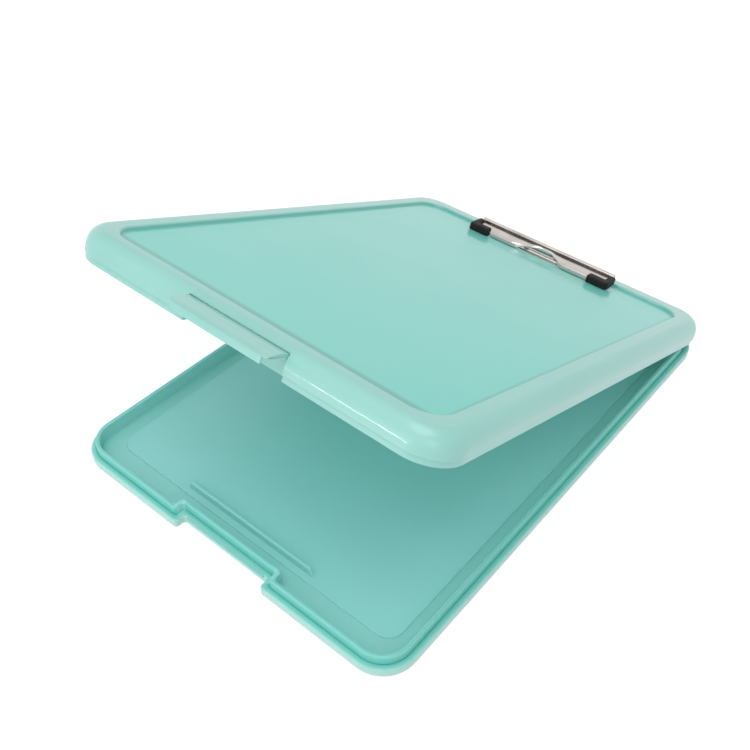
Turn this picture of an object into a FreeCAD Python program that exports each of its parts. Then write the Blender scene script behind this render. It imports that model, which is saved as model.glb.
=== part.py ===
import FreeCAD, Part
import math
import os
import re
import Sketcher

# Storage clipboard box: a shallow tray with a hinged lid, a swing latch on the front edge of
# the lid and a sprung paper clip at its rear end. The origin is the centre of the underside,
# +X is to the right, the latch is at -Y, the hinge at +Y and +Z points up.
# The lid and all that it carries are drawn with the lid shut, then turned about the hinge.

Vector = FreeCAD.Vector
doc = FreeCAD.newDocument("storage_clipboard_box")
sheet = doc.addObject("Spreadsheet::Sheet", "Sheet")


class Size:
    """A size from the sheet, or one worked out from such sizes, as an expression with its value."""

    def __init__(self, text, value):
        self.text = text
        self.value = value

    def __add__(self, other):
        other = as_size(other)
        return Size(f"({self.text} + {other.text})", self.value + other.value)

    def __sub__(self, other):
        other = as_size(other)
        return Size(f"({self.text} - {other.text})", self.value - other.value)

    def __mul__(self, other):
        other = as_size(other)
        return Size(f"({self.text} * {other.text})", self.value * other.value)

    def __truediv__(self, other):
        other = as_size(other)
        return Size(f"({self.text} / {other.text})", self.value / other.value)

    def __neg__(self):
        return Size(f"(0 - {self.text})", -self.value)


def as_size(value):
    return value if isinstance(value, Size) else Size(repr(value), float(value))


def cosine(angle):
    return Size(f"cos({angle.text})", math.cos(math.radians(angle.value)))


def sine(angle):
    return Size(f"sin({angle.text})", math.sin(math.radians(angle.value)))


# Driving sizes in millimetres and degrees: name, value, meaning.
DRIVING = (
    ("box_width", 240, "outside width"),
    ("box_length", 340, "outside length, front to back"),
    ("corner_radius", 21, "plan radius of the four outside corners"),
    ("ledge_height", 6.5, "height of the ledge that the lid lands on"),
    ("ledge_width", 3.4, "ledge outside the tray wall, at the sides and front"),
    ("wall_top", 12.5, "height of the tray wall"),
    ("wall_thickness", 2.4, "tray wall"),
    ("floor_thickness", 2, "tray floor in the gutter"),
    ("bottom_round", 1.6, "round under the tray's outer edge"),
    ("ledge_round", 0.8, "round on the ledge's outer edge"),
    ("wall_round", 1, "round along the top of the tray wall"),
    ("notch_width", 65, "finger notch in the front edge"),
    ("notch_depth", 6.5, "how far the tray's front edge steps in at the notch"),
    ("notch_round", 2.2, "plan radius of the notch corners"),
    ("gutter_width", 8.9, "gutter between tray wall and floor panel, sides and back"),
    ("front_gutter", 14.2, "gutter along the front wall"),
    ("panel_rise", 1, "raised floor panel above the gutter"),
    ("panel_corner", 10, "plan radius of the floor panel"),
    ("rib_length", 97, "foot of the pen rest rib"),
    ("rib_slope", 3, "how far each rib end leans in"),
    ("rib_thickness", 2, "pen rest rib"),
    ("rib_top", 8, "height of the pen rest rib"),
    ("rib_setback", 4, "rib behind the front edge of the floor panel"),
    ("back_ledge_width", 7.2, "ledge behind the tray's rear wall, under the hinge"),
    ("back_ledge_height", 3.2, "height of that rear ledge"),
    ("hinge_inset", 3.2, "hinge axis in from the rear face"),
    ("hinge_height", 10, "hinge axis above the underside"),
    ("knuckle_radius", 3.2, "outside radius of the hinge knuckles"),
    ("knuckle_length", 10, "each knuckle on the tray"),
    ("lid_knuckle_length", 19.2, "knuckle on the lid between two on the tray"),
    ("knuckle_gap", 0.4, "end play between knuckles"),
    ("hinge_from_side", 38, "middle of each hinge, in from the box's side"),
    ("hinge_pin_radius", 1.5, "lid hinge pins"),
    ("pin_end_round", 0.2, "rounding of the ends of every pin"),
    ("running_clearance", 0.05, "radial clearance of every pin in its bore"),
    ("lid_angle", 22.44, "how far the lid stands open at rest"),
    ("lid_top", 23.5, "height of the shut lid's top"),
    ("lid_gap", 0.3, "gap between the ledge and the shut lid"),
    ("lip_height", 3.5, "set-in lip round the lid's lower edge"),
    ("lip_step", 0.8, "how far the lip is set in"),
    ("skirt_thickness", 2.4, "lid skirt"),
    ("roof_thickness", 2.4, "lid border, from above"),
    ("shoulder_radius", 8, "round along the lid's upper outer edge"),
    ("shoulder_inset", 6, "hollow under the shoulder, in from the outside"),
    ("shoulder_drop", 7, "where the hollow narrows, below the lid's top"),
    ("border_width", 15, "lid border beside the writing recess"),
    ("border_front", 12.5, "lid border in front of the recess"),
    ("border_back", 18, "lid border behind the recess"),
    ("recess_depth", 2, "writing recess"),
    ("recess_floor", 2.2, "plate under the writing recess"),
    ("recess_corner", 15, "plan radius of the recess"),
    ("recess_round", 1.8, "round along the recess edge"),
    ("lid_back_edge", 8, "height of the shut lid's rear lower edge"),
    ("latch_pocket", 5.8, "how far the lid's front face steps in behind the latch"),
    ("latch_axis_inset", 2.2, "latch axis in from the front face"),
    ("latch_axis_drop", 4.7, "latch axis below the lid's top"),
    ("latch_barrel_radius", 1.5, "rolled upper edge of the latch"),
    ("latch_roof_gap", 0.3, "gap between that rolled edge and the lid above it"),
    ("brow_inset", 2.7, "front edge of the lid above the latch, in from the front face"),
    ("latch_thickness", 1.8, "latch plate"),
    ("latch_end", 4, "height of the shut latch's lower edge"),
    ("latch_side_gap", 0.7, "gap at each end of the latch"),
    ("latch_corner", 2.5, "corner radius of the latch plate"),
    ("latch_angle", 97, "how far the latch is swung out at rest"),
    ("hook_width", 58, "catch hook on the latch"),
    ("hook_height", 1.1, "catch hook"),
    ("hook_reach", 1, "hook under the catch"),
    ("catch_depth", 1.5, "catch along the tray's notch, out from the notch's face"),
    ("catch_clearance", 0.3, "hook to the underside of the catch"),
    ("catch_margin", 0.7, "catch beyond the hook, at each end"),
    ("latch_pin_radius", 0.7, "latch pin"),
    ("latch_pin_bite", 3, "latch pin inside the lid, each end"),
    ("clip_width", 110, "sheet of the paper clip, side to side"),
    ("clip_margin", 3, "rear end of the clip sheet in front of the recess edge"),
    ("clip_depth", 14.5, "clip sheet, front to back"),
    ("clip_rise", 2.4, "how much higher the sheet is at the back than the front"),
    ("clip_front_height", 3.8, "sheet's upper side at the front, above the recess"),
    ("sheet_thickness", 1, "clip sheet"),
    ("jaw_gap", 0.4, "jaw above the recess with no paper in it"),
    ("curl_radius", 1.6, "rolled rear edge of the clip"),
    ("cutback_depth", 11, "cut-back in the middle of the jaw"),
    ("cutback_mouth", 36, "cut-back at the front edge"),
    ("cutback_base", 8, "cut-back at its deepest"),
    ("cutback_round", 9, "plan radius of the cut-back's inner corners"),
    ("pivot_lead", 5.5, "clip rod in front of the sheet's rear end"),
    ("pivot_height", 2.2, "clip rod above the recess"),
    ("rod_radius", 0.8, "clip rod"),
    ("rod_overhang", 1, "clip rod past each outer ear"),
    ("ear_offset", 40, "outer ears of the clip base from the centre line"),
    ("ear_gap", 0.5, "between a base ear and the lever ear beside it"),
    ("ear_margin", 1, "metal round the rod in every ear"),
    ("base_plate_depth", 12.5, "clip's base plate, front to back"),
    ("base_plate_margin", 1.5, "base plate behind the sheet's rear end"),
    ("base_plate_round", 2.5, "plan radius of the base plate's corners"),
    ("base_plate_thickness", 0.8, "base plate"),
    ("spring_wire", 0.3, "radius of the spring wire"),
    ("spring_radius", 1.5, "middle of the wire to the middle of the coil"),
    ("spring_pitch", 1.2, "advance of each coil"),
    ("spring_turns", 5, "whole coils in each spring"),
    ("spring_leave", 9.4, "slope of each spring leg"),
    ("spring_offset", 24, "inner end of each spring from the centre line"),
    ("spring_leg", 5.5, "straight leg at each end of a spring"),
    ("window_margin", 1.5, "window in the base plate round each spring"),
    ("rivet_offset", 14, "rivets from the centre line"),
    ("rivet_lead", 1.5, "rivets in front of the sheet's rear end"),
    ("rivet_radius", 1.6, "rivet shank"),
    ("rivet_head_radius", 2.4, "rivet head"),
    ("rivet_crown_radius", 1.5, "flat on top of the rivet head"),
    ("rivet_tail_radius", 1.9, "closed end of the rivet"),
    ("rivet_head_height", 1.1, "rivet head"),
    ("washer_radius", 4, "washers under the lid plate"),
    ("washer_thickness", 0.8, "those washers"),
    ("hole_clearance", 0.1, "rivet shank in its holes"),
    ("cap_arm", 16, "rubber corner along the clip's front"),
    ("cap_width", 5, "rubber corner across its side arm"),
    ("cap_front_depth", 7, "rubber corner, front to back, along the front"),
    ("cap_length", 15.5, "rubber corner along the side"),
    ("cap_overhang", 2, "rubber corner past the side of the sheet"),
    ("cap_front_overhang", 3, "rubber corner past the front of the sheet"),
    ("cap_cover", 1.5, "rubber above the sheet"),
    ("cap_base_gap", 0.3, "rubber above the recess"),
    ("cap_round", 1, "rounding of the rubber corners"),
)


def fill_sheet():
    sizes = {}
    for row, (alias, value, meaning) in enumerate(DRIVING, start=1):
        sheet.set(f"A{row}", meaning)
        sheet.set(f"B{row}", str(value))
        sheet.setAlias(f"B{row}", alias)
    doc.recompute()
    for alias, _, _ in DRIVING:
        sizes[alias] = Size(f"Sheet.{alias}", float(sheet.get(alias)))
    return sizes


class Named:
    def __init__(self, sizes):
        self.__dict__.update(sizes)


S = Named(fill_sheet())
TOLERANCE = 0.001


# Small helpers: each one adds a feature of one kind and binds its sizes to the sheet.

def new_body(label):
    body = doc.addObject("PartDesign::Body", label)
    body.Label = label
    return body


def origin_plane(body, role):
    return next(item for item in body.Origin.OriginFeatures if item.Role == role)


def new_sketch(body, name, role, level):
    sketch = body.newObject("Sketcher::SketchObject", name)
    sketch.AttachmentSupport = (origin_plane(body, role), [""])
    sketch.MapMode = "FlatFace"
    if level is not None:
        sketch.setExpression("AttachmentOffset.Base.z", level.text)
    return sketch


def pin_point(sketch, geometry, position, x, y):
    for kind, size in (("DistanceX", x), ("DistanceY", y)):
        hold(sketch, Sketcher.Constraint(kind, geometry, position, size.value), size)


def outline_sketch(body, name, role, loops, level=None):
    """Closed straight-sided loops, each corner held by its own coordinates."""
    sketch = new_sketch(body, name, role, level)
    for loop in loops:
        first = sketch.GeometryCount
        corners = [(as_size(x), as_size(y)) for x, y in loop]
        for index, (x, y) in enumerate(corners):
            next_x, next_y = corners[(index + 1) % len(corners)]
            line = Part.LineSegment(Vector(x.value, y.value, 0), Vector(next_x.value, next_y.value, 0))
            sketch.addGeometry(line)
        for index in range(len(corners)):
            following = first + (index + 1) % len(corners)
            sketch.addConstraint(Sketcher.Constraint("Coincident", first + index, 2, following, 1))
        for index, (x, y) in enumerate(corners):
            pin_point(sketch, first + index, 1, x, y)
    return sketch


def rounded_sketch(body, name, loops, level=None):
    """Loops of level and upright lines on the ground plane, with a tangent arc at every rounded corner."""
    sketch = new_sketch(body, name, "XY_Plane", level)
    for loop in loops:
        rounded_loop(sketch, [tuple(as_size(size) for size in corner) for corner in loop])
    return sketch


def rounded_loop(sketch, corners):
    """Each line is held by its own offset, and each corner by the radius of its arc."""
    count = len(corners)
    places = [Vector(x.value, y.value, 0) for x, y, _ in corners]
    radii = [radius.value for _, _, radius in corners]
    ways = [(places[(index + 1) % count] - places[index]).normalize() for index in range(count)]
    lines = []
    for index, (x, y, _) in enumerate(corners):
        following = (index + 1) % count
        start = places[index] + ways[index] * radii[index]
        end = places[following] - ways[index] * radii[following]
        line = sketch.addGeometry(Part.LineSegment(start, end))
        lines.append(line)
        is_level = abs(ways[index].y) < TOLERANCE
        sketch.addConstraint(Sketcher.Constraint("Horizontal" if is_level else "Vertical", line))
        kind, size = ("DistanceY", y) if is_level else ("DistanceX", x)
        hold(sketch, Sketcher.Constraint(kind, line, 1, size.value), size)
    for index, (_, _, radius) in enumerate(corners):
        before, after = lines[index - 1], lines[index]
        if radius.value:
            arc_between(sketch, before, after, places[index], ways[index - 1], ways[index], radius)
        else:
            sketch.addConstraint(Sketcher.Constraint("Coincident", before, 2, after, 1))


def arc_between(sketch, before, after, corner, way_in, way_out, radius):
    """Arcs run anticlockwise, so that at an inward corner the arc starts on the line after it."""
    centre = corner - way_in * radius.value + way_out * radius.value
    outward = way_in.cross(way_out).z > 0
    first = corner - way_in * radius.value if outward else corner + way_out * radius.value
    angle = math.atan2(first.y - centre.y, first.x - centre.x)
    circle = Part.Circle(centre, Vector(0, 0, 1), radius.value)
    arc = sketch.addGeometry(Part.ArcOfCircle(circle, angle, angle + math.pi / 2))
    start, end = (1, 2) if outward else (2, 1)
    sketch.addConstraint(Sketcher.Constraint("Tangent", before, 2, arc, start))
    sketch.addConstraint(Sketcher.Constraint("Tangent", arc, end, after, 1))
    hold(sketch, Sketcher.Constraint("Radius", arc, radius.value), radius)


def hold(sketch, constraint, size):
    index = sketch.addConstraint(constraint)
    sketch.setExpression(f"Constraints[{index}]", size.text)


def circle_sketch(body, name, role, centre, radius, level=None):
    sketch = new_sketch(body, name, role, level)
    x, y = (as_size(value) for value in centre)
    sketch.addGeometry(Part.Circle(Vector(x.value, y.value, 0), Vector(0, 0, 1), radius.value))
    pin_point(sketch, 0, 3, x, y)
    hold(sketch, Sketcher.Constraint("Radius", 0, radius.value), radius)
    return sketch


def extrude(body, kind, name, sketch, length, symmetric=False, reverse=False):
    feature = body.newObject(f"PartDesign::{kind}", name)
    feature.Profile = sketch
    if symmetric:
        feature.SideType = "Symmetric"
    feature.Reversed = reverse
    before = body_volume(body)
    feature.setExpression("Length", as_size(length).text)
    doc.recompute()
    if before and abs(feature.Shape.Volume - before) < TOLERANCE:
        raise RuntimeError(f"{name} changes nothing")
    return feature


def body_volume(body):
    solid_features = [item for item in body.Group if item.isDerivedFrom("PartDesign::Feature")]
    done = [item for item in solid_features if not item.Shape.isNull() and item.Shape.Volume > TOLERANCE]
    return done[-1].Shape.Volume if done else 0


def pad(body, name, sketch, length, **options):
    return extrude(body, "Pad", name, sketch, length, **options)


def pocket(body, name, sketch, length, **options):
    return extrude(body, "Pocket", name, sketch, length, **options)


def round_edges(body, name, feature, radius, wanted):
    """Fillets the edges of the last feature that the test picks."""
    edges = [f"Edge{index}" for index, edge in enumerate(feature.Shape.Edges, start=1) if wanted(edge)]
    if not edges:
        raise RuntimeError(f"{name} finds no edge")
    fillet = body.newObject("PartDesign::Fillet", name)
    fillet.Base = (feature, edges)
    fillet.setExpression("Radius", as_size(radius).text)
    doc.recompute()
    return fillet


def upright_at(corners):
    """Picks straight upright edges that stand at the given plan corners."""
    places = [(as_size(x).value, as_size(y).value) for x, y in corners]

    def wanted(edge):
        box = edge.BoundBox
        if box.XLength > TOLERANCE or box.YLength > TOLERANCE:
            return False
        return any(math.hypot(box.XMin - x, box.YMin - y) < TOLERANCE for x, y in places)
    return wanted


def at_level(height, inside=None):
    """Picks the edges that lie at one height, within an optional plan rectangle."""
    def wanted(edge):
        box = edge.BoundBox
        if abs(box.ZMin - height.value) > TOLERANCE or abs(box.ZMax - height.value) > TOLERANCE:
            return False
        if inside is None:
            return True
        half_x, front, back = (as_size(size).value + TOLERANCE for size in inside)
        return box.XMin > -half_x and box.XMax < half_x and box.YMin > -front and box.YMax < back
    return wanted


def rectangle(left, right, front, back):
    return [(left, front), (right, front), (right, back), (left, back)]


def rounded(outline, radius):
    return [(x, y, radius) for x, y in outline]


def notched(half_x, front, back, notch_reach, notch_wall, radius, notch_radius):
    """A rounded rectangle whose front edge steps in over the middle. Distances are from the centre."""
    return [
        (-half_x, -front, radius),
        (-notch_reach, -front, notch_radius),
        (-notch_reach, -notch_wall, notch_radius),
        (notch_reach, -notch_wall, notch_radius),
        (notch_reach, -front, notch_radius),
        (half_x, -front, radius),
        (half_x, back, radius),
        (-half_x, back, radius),
    ]


def turn_with_lid(thing):
    """Turns a piece that was drawn with the lid shut to where the open lid carries it."""
    y_move, z_move = pivot_shift(hinge_y, S.hinge_height, -S.lid_angle)
    place(thing, y_move, z_move, -S.lid_angle)


def pivot_shift(y, z, angle):
    y_move = y - (y * cosine(angle) - z * sine(angle))
    z_move = z - (y * sine(angle) + z * cosine(angle))
    return y_move, z_move


def place(thing, y_move, z_move, angle):
    thing.Placement = FreeCAD.Placement(Vector(0, 0, 0), FreeCAD.Rotation(Vector(1, 0, 0), angle.value))
    thing.setExpression("Placement.Base.y", y_move.text)
    thing.setExpression("Placement.Base.z", z_move.text)
    thing.setExpression("Placement.Rotation.Angle", f"{angle.text} * 1 deg")


# Sizes that follow from the driving ones and that several pieces share.

half_width = S.box_width / 2
half_length = S.box_length / 2
notch_half = S.notch_width / 2
notch_face = half_length - S.notch_depth
hinge_y = half_length - S.hinge_inset
rear_wall_face = half_length - S.back_ledge_width
floor_panel_top = S.floor_thickness + S.panel_rise
lid_bottom = S.ledge_height + S.lid_gap
lip_top = lid_bottom + S.lip_height
recess_level = S.lid_top - S.recess_depth
recess_half = half_width - S.border_width
recess_front = half_length - S.border_front
recess_back = half_length - S.border_back
plate_underside = recess_level - S.recess_floor
latch_wall = half_length - S.latch_pocket
latch_y = half_length - S.latch_axis_inset
latch_z = S.lid_top - S.latch_axis_drop
catch_underside = S.latch_end + S.hook_height + S.catch_clearance
pivot_z = recess_level + S.pivot_height
clip_back = recess_back - S.clip_margin
clip_front = clip_back - S.clip_depth
clip_slope = S.clip_rise / S.clip_depth
pivot_y = clip_back - S.pivot_lead
rivet_y = clip_back - S.rivet_lead
base_plate_back = clip_back + S.base_plate_margin
base_plate_front = base_plate_back - S.base_plate_depth
clip_front_top = recess_level + S.clip_front_height
clip_back_top = clip_front_top + S.clip_rise
hinge_offset = half_width - S.hinge_from_side
hinge_reach = hinge_offset + S.lid_knuckle_length / 2 + S.knuckle_gap + S.knuckle_length
inner_knuckle = hinge_offset - S.lid_knuckle_length / 2 - S.knuckle_gap - S.knuckle_length
outer_knuckle = hinge_offset + S.lid_knuckle_length / 2 + S.knuckle_gap


# The tray

def base_tray():
    body = new_body("base_tray")
    round_in = S.notch_round
    outside = notched(half_width, half_length, half_length, notch_half, notch_face, S.corner_radius, round_in)
    block = pad(body, "block", rounded_sketch(body, "block_outline", [outside]), S.ledge_height)
    step = round_edges(body, "block_bottom", block, S.bottom_round, at_level(as_size(0)))
    round_edges(body, "block_ledge", step, S.ledge_round, at_level(S.ledge_height))
    rear_strip(body)
    tray_wall(body)
    floor_panel(body)
    pen_rib(body)
    tray_knuckles(body)
    latch_catch(body)
    return body


def rear_strip(body):
    """The ledge is lower behind the rear wall, so that the lid can swing down past it."""
    strip = rectangle(-half_width, half_width, rear_wall_face, half_length)
    sketch = outline_sketch(body, "strip_outline", "XY_Plane", [strip], S.back_ledge_height)
    pocket(body, "strip", sketch, S.ledge_height - S.back_ledge_height, reverse=True)


def tray_wall(body):
    height = S.wall_top - S.floor_thickness
    outer = wall_outline(S.ledge_width, S.back_ledge_width)
    pad(body, "wall", rounded_sketch(body, "wall_outline", [outer], S.floor_thickness), height)
    inner = wall_outline(S.ledge_width + S.wall_thickness, S.back_ledge_width + S.wall_thickness)
    sketch = rounded_sketch(body, "inside_outline", [inner], S.floor_thickness)
    inside = pocket(body, "inside", sketch, height, reverse=True)
    round_edges(body, "wall_rim", inside, S.wall_round, at_level(S.wall_top))


def wall_outline(inset, back_inset):
    front = half_length - inset
    back = half_length - back_inset
    wall = notch_face - inset
    radius = S.corner_radius - inset
    return notched(half_width - inset, front, back, notch_half + inset, wall, radius, S.notch_round)


def floor_panel(body):
    inset = S.ledge_width + S.wall_thickness
    side = half_width - inset - S.gutter_width
    back = rear_wall_face - S.wall_thickness - S.gutter_width
    panel = rectangle(-side, side, -panel_front(), back)
    sketch = rounded_sketch(body, "panel_outline", [rounded(panel, S.panel_corner)], S.floor_thickness)
    raised = pad(body, "panel", sketch, S.panel_rise)
    round_edges(body, "panel_edge", raised, S.panel_rise / 2, at_level(floor_panel_top))


def panel_front():
    return half_length - S.ledge_width - S.wall_thickness - S.front_gutter


def pen_rib(body):
    """A low rib that keeps a pen in the front gutter. Its ends lean in towards the top."""
    foot = S.rib_length / 2
    crest = foot - S.rib_slope
    profile = [(-foot, S.floor_thickness), (foot, S.floor_thickness), (crest, S.rib_top), (-crest, S.rib_top)]
    rear_face = panel_front() - S.rib_setback - S.rib_thickness
    sketch = outline_sketch(body, "rib_outline", "XZ_Plane", [profile], rear_face)
    pad(body, "rib", sketch, S.rib_thickness)


def tray_knuckles(body):
    """Two knuckles at each hinge, on short stems that stand clear of the lid's swing."""
    made = []
    for name, start in (("inner", inner_knuckle), ("outer", outer_knuckle)):
        stem = rectangle(hinge_y - S.knuckle_radius, hinge_y, S.floor_thickness, S.hinge_height)
        sketch = outline_sketch(body, f"{name}_stem_outline", "YZ_Plane", [stem], start)
        made.append(pad(body, f"{name}_stem", sketch, S.knuckle_length))
        centre = (hinge_y, S.hinge_height)
        sketch = circle_sketch(body, f"{name}_knuckle_outline", "YZ_Plane", centre, S.knuckle_radius, start)
        made.append(pad(body, f"{name}_knuckle", sketch, S.knuckle_length))
    mirror = body.newObject("PartDesign::Mirrored", "left_knuckles")
    mirror.Originals = made
    mirror.MirrorPlane = (origin_plane(body, "YZ_Plane"), [""])
    body.Tip = mirror
    doc.recompute()
    hinge_bore(body)


def hinge_bore(body):
    bore = S.hinge_pin_radius + S.running_clearance
    sketch = circle_sketch(body, "hinge_bore_outline", "YZ_Plane", (hinge_y, S.hinge_height), bore)
    pocket(body, "hinge_bore", sketch, hinge_reach * 2, symmetric=True)


def latch_catch(body):
    """A bar along the notch, flush with the ledge, which the latch's hook swings under."""
    half = S.hook_width / 2 + S.catch_margin
    inner = notch_face - S.ledge_width / 2
    shape = rectangle(-half, half, -notch_face - S.catch_depth, -inner)
    sketch = outline_sketch(body, "catch_outline", "XY_Plane", [shape], catch_underside)
    pad(body, "catch", sketch, S.ledge_height - catch_underside)


# The lid, drawn shut

def lid_shell():
    body = new_body("lid_shell")
    outer = rectangle(-half_width, half_width, -half_length, half_length)
    inset = S.lip_step
    lip = rectangle(inset - half_width, half_width - inset, inset - half_length, half_length - inset)
    sketch = rounded_sketch(body, "lip_outline", [rounded(lip, S.corner_radius - inset)], lid_bottom)
    pad(body, "lip", sketch, S.lip_height)
    sketch = rounded_sketch(body, "cover_outline", [rounded(outer, S.corner_radius)], lip_top)
    feature = pad(body, "cover", sketch, S.lid_top - lip_top)
    round_edges(body, "cover_shoulder", feature, S.shoulder_radius, at_level(S.lid_top))
    writing_recess(body)
    latch_notch(body)
    lid_hollow(body)
    lid_rear_edge(body)
    lid_knuckles(body)
    latch_pin_bore(body)
    rivet_holes(body, "lid_rivet_holes", plate_underside)
    turn_with_lid(body)
    return body


def recess_outline(margin):
    side = recess_half + margin
    return rectangle(-side, side, -recess_front - margin, recess_back + margin)


def writing_recess(body):
    outline = rounded(recess_outline(as_size(0)), S.recess_corner)
    sketch = rounded_sketch(body, "recess_outline", [outline], recess_level)
    feature = pocket(body, "recess", sketch, S.recess_depth, reverse=True)
    edge = (recess_half, recess_front, recess_back)
    round_edges(body, "recess_edge", feature, S.recess_round, at_level(S.lid_top, edge))


def latch_notch(body):
    """The notch behind the latch reaches under a brow, which covers the latch's rolled edge."""
    gap = rectangle(-notch_half, notch_half, -half_length, -latch_wall)
    sketch = outline_sketch(body, "latch_notch_outline", "XY_Plane", [gap], lid_bottom)
    roof = latch_z + S.latch_barrel_radius + S.latch_roof_gap
    pocket(body, "latch_notch", sketch, roof - lid_bottom, reverse=True)
    gap = rectangle(-notch_half, notch_half, -half_length, S.brow_inset - half_length)
    sketch = outline_sketch(body, "brow_outline", "XY_Plane", [gap], lid_bottom)
    pocket(body, "brow", sketch, S.lid_top - lid_bottom, reverse=True)


def lid_hollow(body):
    """Two pockets from below follow the shoulder, and a plate is left under the recess."""
    level = S.lid_top - S.shoulder_drop
    sketch = rounded_sketch(body, "wide_outline", [hollow_outline(S.skirt_thickness)], lid_bottom)
    pocket(body, "wide_hollow", sketch, level - lid_bottom, reverse=True)
    sketch = rounded_sketch(body, "narrow_outline", [hollow_outline(S.shoulder_inset)], level)
    pocket(body, "narrow_hollow", sketch, S.lid_top - S.roof_thickness - level, reverse=True)
    backing = rounded(recess_outline(S.skirt_thickness), S.recess_corner + S.skirt_thickness)
    sketch = rounded_sketch(body, "backing_outline", [backing], plate_underside)
    pad(body, "backing", sketch, recess_level - plate_underside)


def hollow_outline(inset):
    wall = latch_wall - S.skirt_thickness
    edge = half_length - inset
    radius = S.corner_radius - inset
    return notched(half_width - inset, edge, edge, notch_half + inset, wall, radius, S.bottom_round)


def lid_rear_edge(body):
    """Behind the tray's rear wall the lid stops higher, and is cut round the tray's knuckles."""
    front = hinge_y - S.knuckle_radius - S.knuckle_gap
    strip = rectangle(-half_width, half_width, front, half_length)
    sketch = outline_sketch(body, "rear_outline", "XY_Plane", [strip], lid_bottom)
    pocket(body, "rear_edge", sketch, S.lid_back_edge - lid_bottom, reverse=True)
    loops = []
    for start in (inner_knuckle, outer_knuckle):
        near = start - S.knuckle_gap
        far = start + S.knuckle_length + S.knuckle_gap
        loops.append(rectangle(near, far, front, half_length))
        loops.append(rectangle(-far, -near, front, half_length))
    sketch = outline_sketch(body, "knuckle_gap_outline", "XY_Plane", loops, S.lid_back_edge)
    top = S.hinge_height + S.knuckle_radius + S.knuckle_gap
    pocket(body, "knuckle_gaps", sketch, top - S.lid_back_edge, reverse=True)


def lid_knuckles(body):
    centre = (hinge_y, S.hinge_height)
    start = hinge_offset - S.lid_knuckle_length / 2
    sketch = circle_sketch(body, "lid_knuckle_outline", "YZ_Plane", centre, S.knuckle_radius, start)
    knuckle = pad(body, "lid_knuckle", sketch, S.lid_knuckle_length)
    mirror = body.newObject("PartDesign::Mirrored", "left_lid_knuckle")
    mirror.Originals = [knuckle]
    mirror.MirrorPlane = (origin_plane(body, "YZ_Plane"), [""])
    body.Tip = mirror
    doc.recompute()
    hinge_bore(body)


def latch_pin_bore(body):
    bore = S.latch_pin_radius + S.running_clearance
    sketch = circle_sketch(body, "latch_bore_outline", "YZ_Plane", (-latch_y, latch_z), bore)
    pocket(body, "latch_bore", sketch, S.notch_width + S.latch_pin_bite * 2, symmetric=True)


def rivet_holes(body, name, level):
    loops = []
    radius = S.rivet_radius + S.hole_clearance
    for index, side in enumerate((-1, 1)):
        centre = (S.rivet_offset * side, rivet_y)
        sketch = circle_sketch(body, f"{name}_outline_{index}", "XY_Plane", centre, radius, level)
        loops.append(pocket(body, f"{name}_{index}", sketch, S.recess_floor * 2, reverse=True))
    return loops


# The latch, drawn shut

def latch_flap():
    body = new_body("latch_flap")
    width = S.notch_width - S.latch_side_gap * 2
    axis = (-latch_y, latch_z)
    sketch = circle_sketch(body, "latch_roll_outline", "YZ_Plane", axis, S.latch_barrel_radius)
    pad(body, "latch_roll", sketch, width, symmetric=True)
    outer = latch_y + S.latch_barrel_radius
    inner = outer - S.latch_thickness
    plate = rectangle(-outer, -inner, S.latch_end, latch_z)
    sketch = outline_sketch(body, "latch_plate_outline", "YZ_Plane", [plate])
    feature = pad(body, "latch_plate", sketch, width, symmetric=True)

    def lower_corner(edge):
        box = edge.BoundBox
        along_y = box.XLength < TOLERANCE and box.ZLength < TOLERANCE
        return along_y and abs(box.ZMin - S.latch_end.value) < TOLERANCE
    round_edges(body, "latch_corners", feature, S.latch_corner, lower_corner)
    hook_tip = notch_face + S.catch_depth - S.hook_reach
    hook = rectangle(-inner - S.latch_thickness / 2, -hook_tip, S.latch_end, S.latch_end + S.hook_height)
    sketch = outline_sketch(body, "hook_outline", "YZ_Plane", [hook])
    pad(body, "hook", sketch, S.hook_width, symmetric=True)
    bore = S.latch_pin_radius + S.running_clearance
    sketch = circle_sketch(body, "flap_bore_outline", "YZ_Plane", axis, bore)
    pocket(body, "flap_bore", sketch, S.notch_width, symmetric=True)
    turn_latch(body)
    return body


def turn_latch(body):
    """The latch swings out about its pin, and the lid then carries it round the hinge."""
    y_latch, z_latch = pivot_shift(-latch_y, latch_z, -S.latch_angle)
    y_lid, z_lid = pivot_shift(hinge_y, S.hinge_height, -S.lid_angle)
    turn = -S.lid_angle
    y_move = y_lid + y_latch * cosine(turn) - z_latch * sine(turn)
    z_move = z_lid + y_latch * sine(turn) + z_latch * cosine(turn)
    place(body, y_move, z_move, -S.lid_angle - S.latch_angle)


# Pins and the clip's rod

def round_bar(label, radius, length, middle_x, y, z):
    body = new_body(label)
    sketch = circle_sketch(body, f"{label}_outline", "YZ_Plane", (y, z), radius, middle_x)
    feature = pad(body, f"{label}_bar", sketch, length, symmetric=True)

    def end_edge(edge):
        return edge.BoundBox.XLength < TOLERANCE
    round_edges(body, f"{label}_ends", feature, S.pin_end_round, end_edge)
    return body


def hinge_pins():
    length = S.lid_knuckle_length + S.knuckle_length * 2 + S.knuckle_gap * 2
    pins = []
    for label, side in (("hinge_pin_left", -1), ("hinge_pin_right", 1)):
        middle = hinge_offset * side
        pins.append(round_bar(label, S.hinge_pin_radius, length, middle, hinge_y, S.hinge_height))
    return pins


def latch_pin():
    length = S.notch_width + S.latch_pin_bite * 2 - S.latch_side_gap
    body = round_bar("latch_pin", S.latch_pin_radius, length, as_size(0), -latch_y, latch_z)
    turn_with_lid(body)
    return body


def clip_rod():
    length = (S.ear_offset + S.sheet_thickness + S.rod_overhang) * 2
    body = round_bar("clip_rod", S.rod_radius, length, as_size(0), pivot_y, pivot_z)
    turn_with_lid(body)
    return body


# The paper clip, drawn on the shut lid

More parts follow.
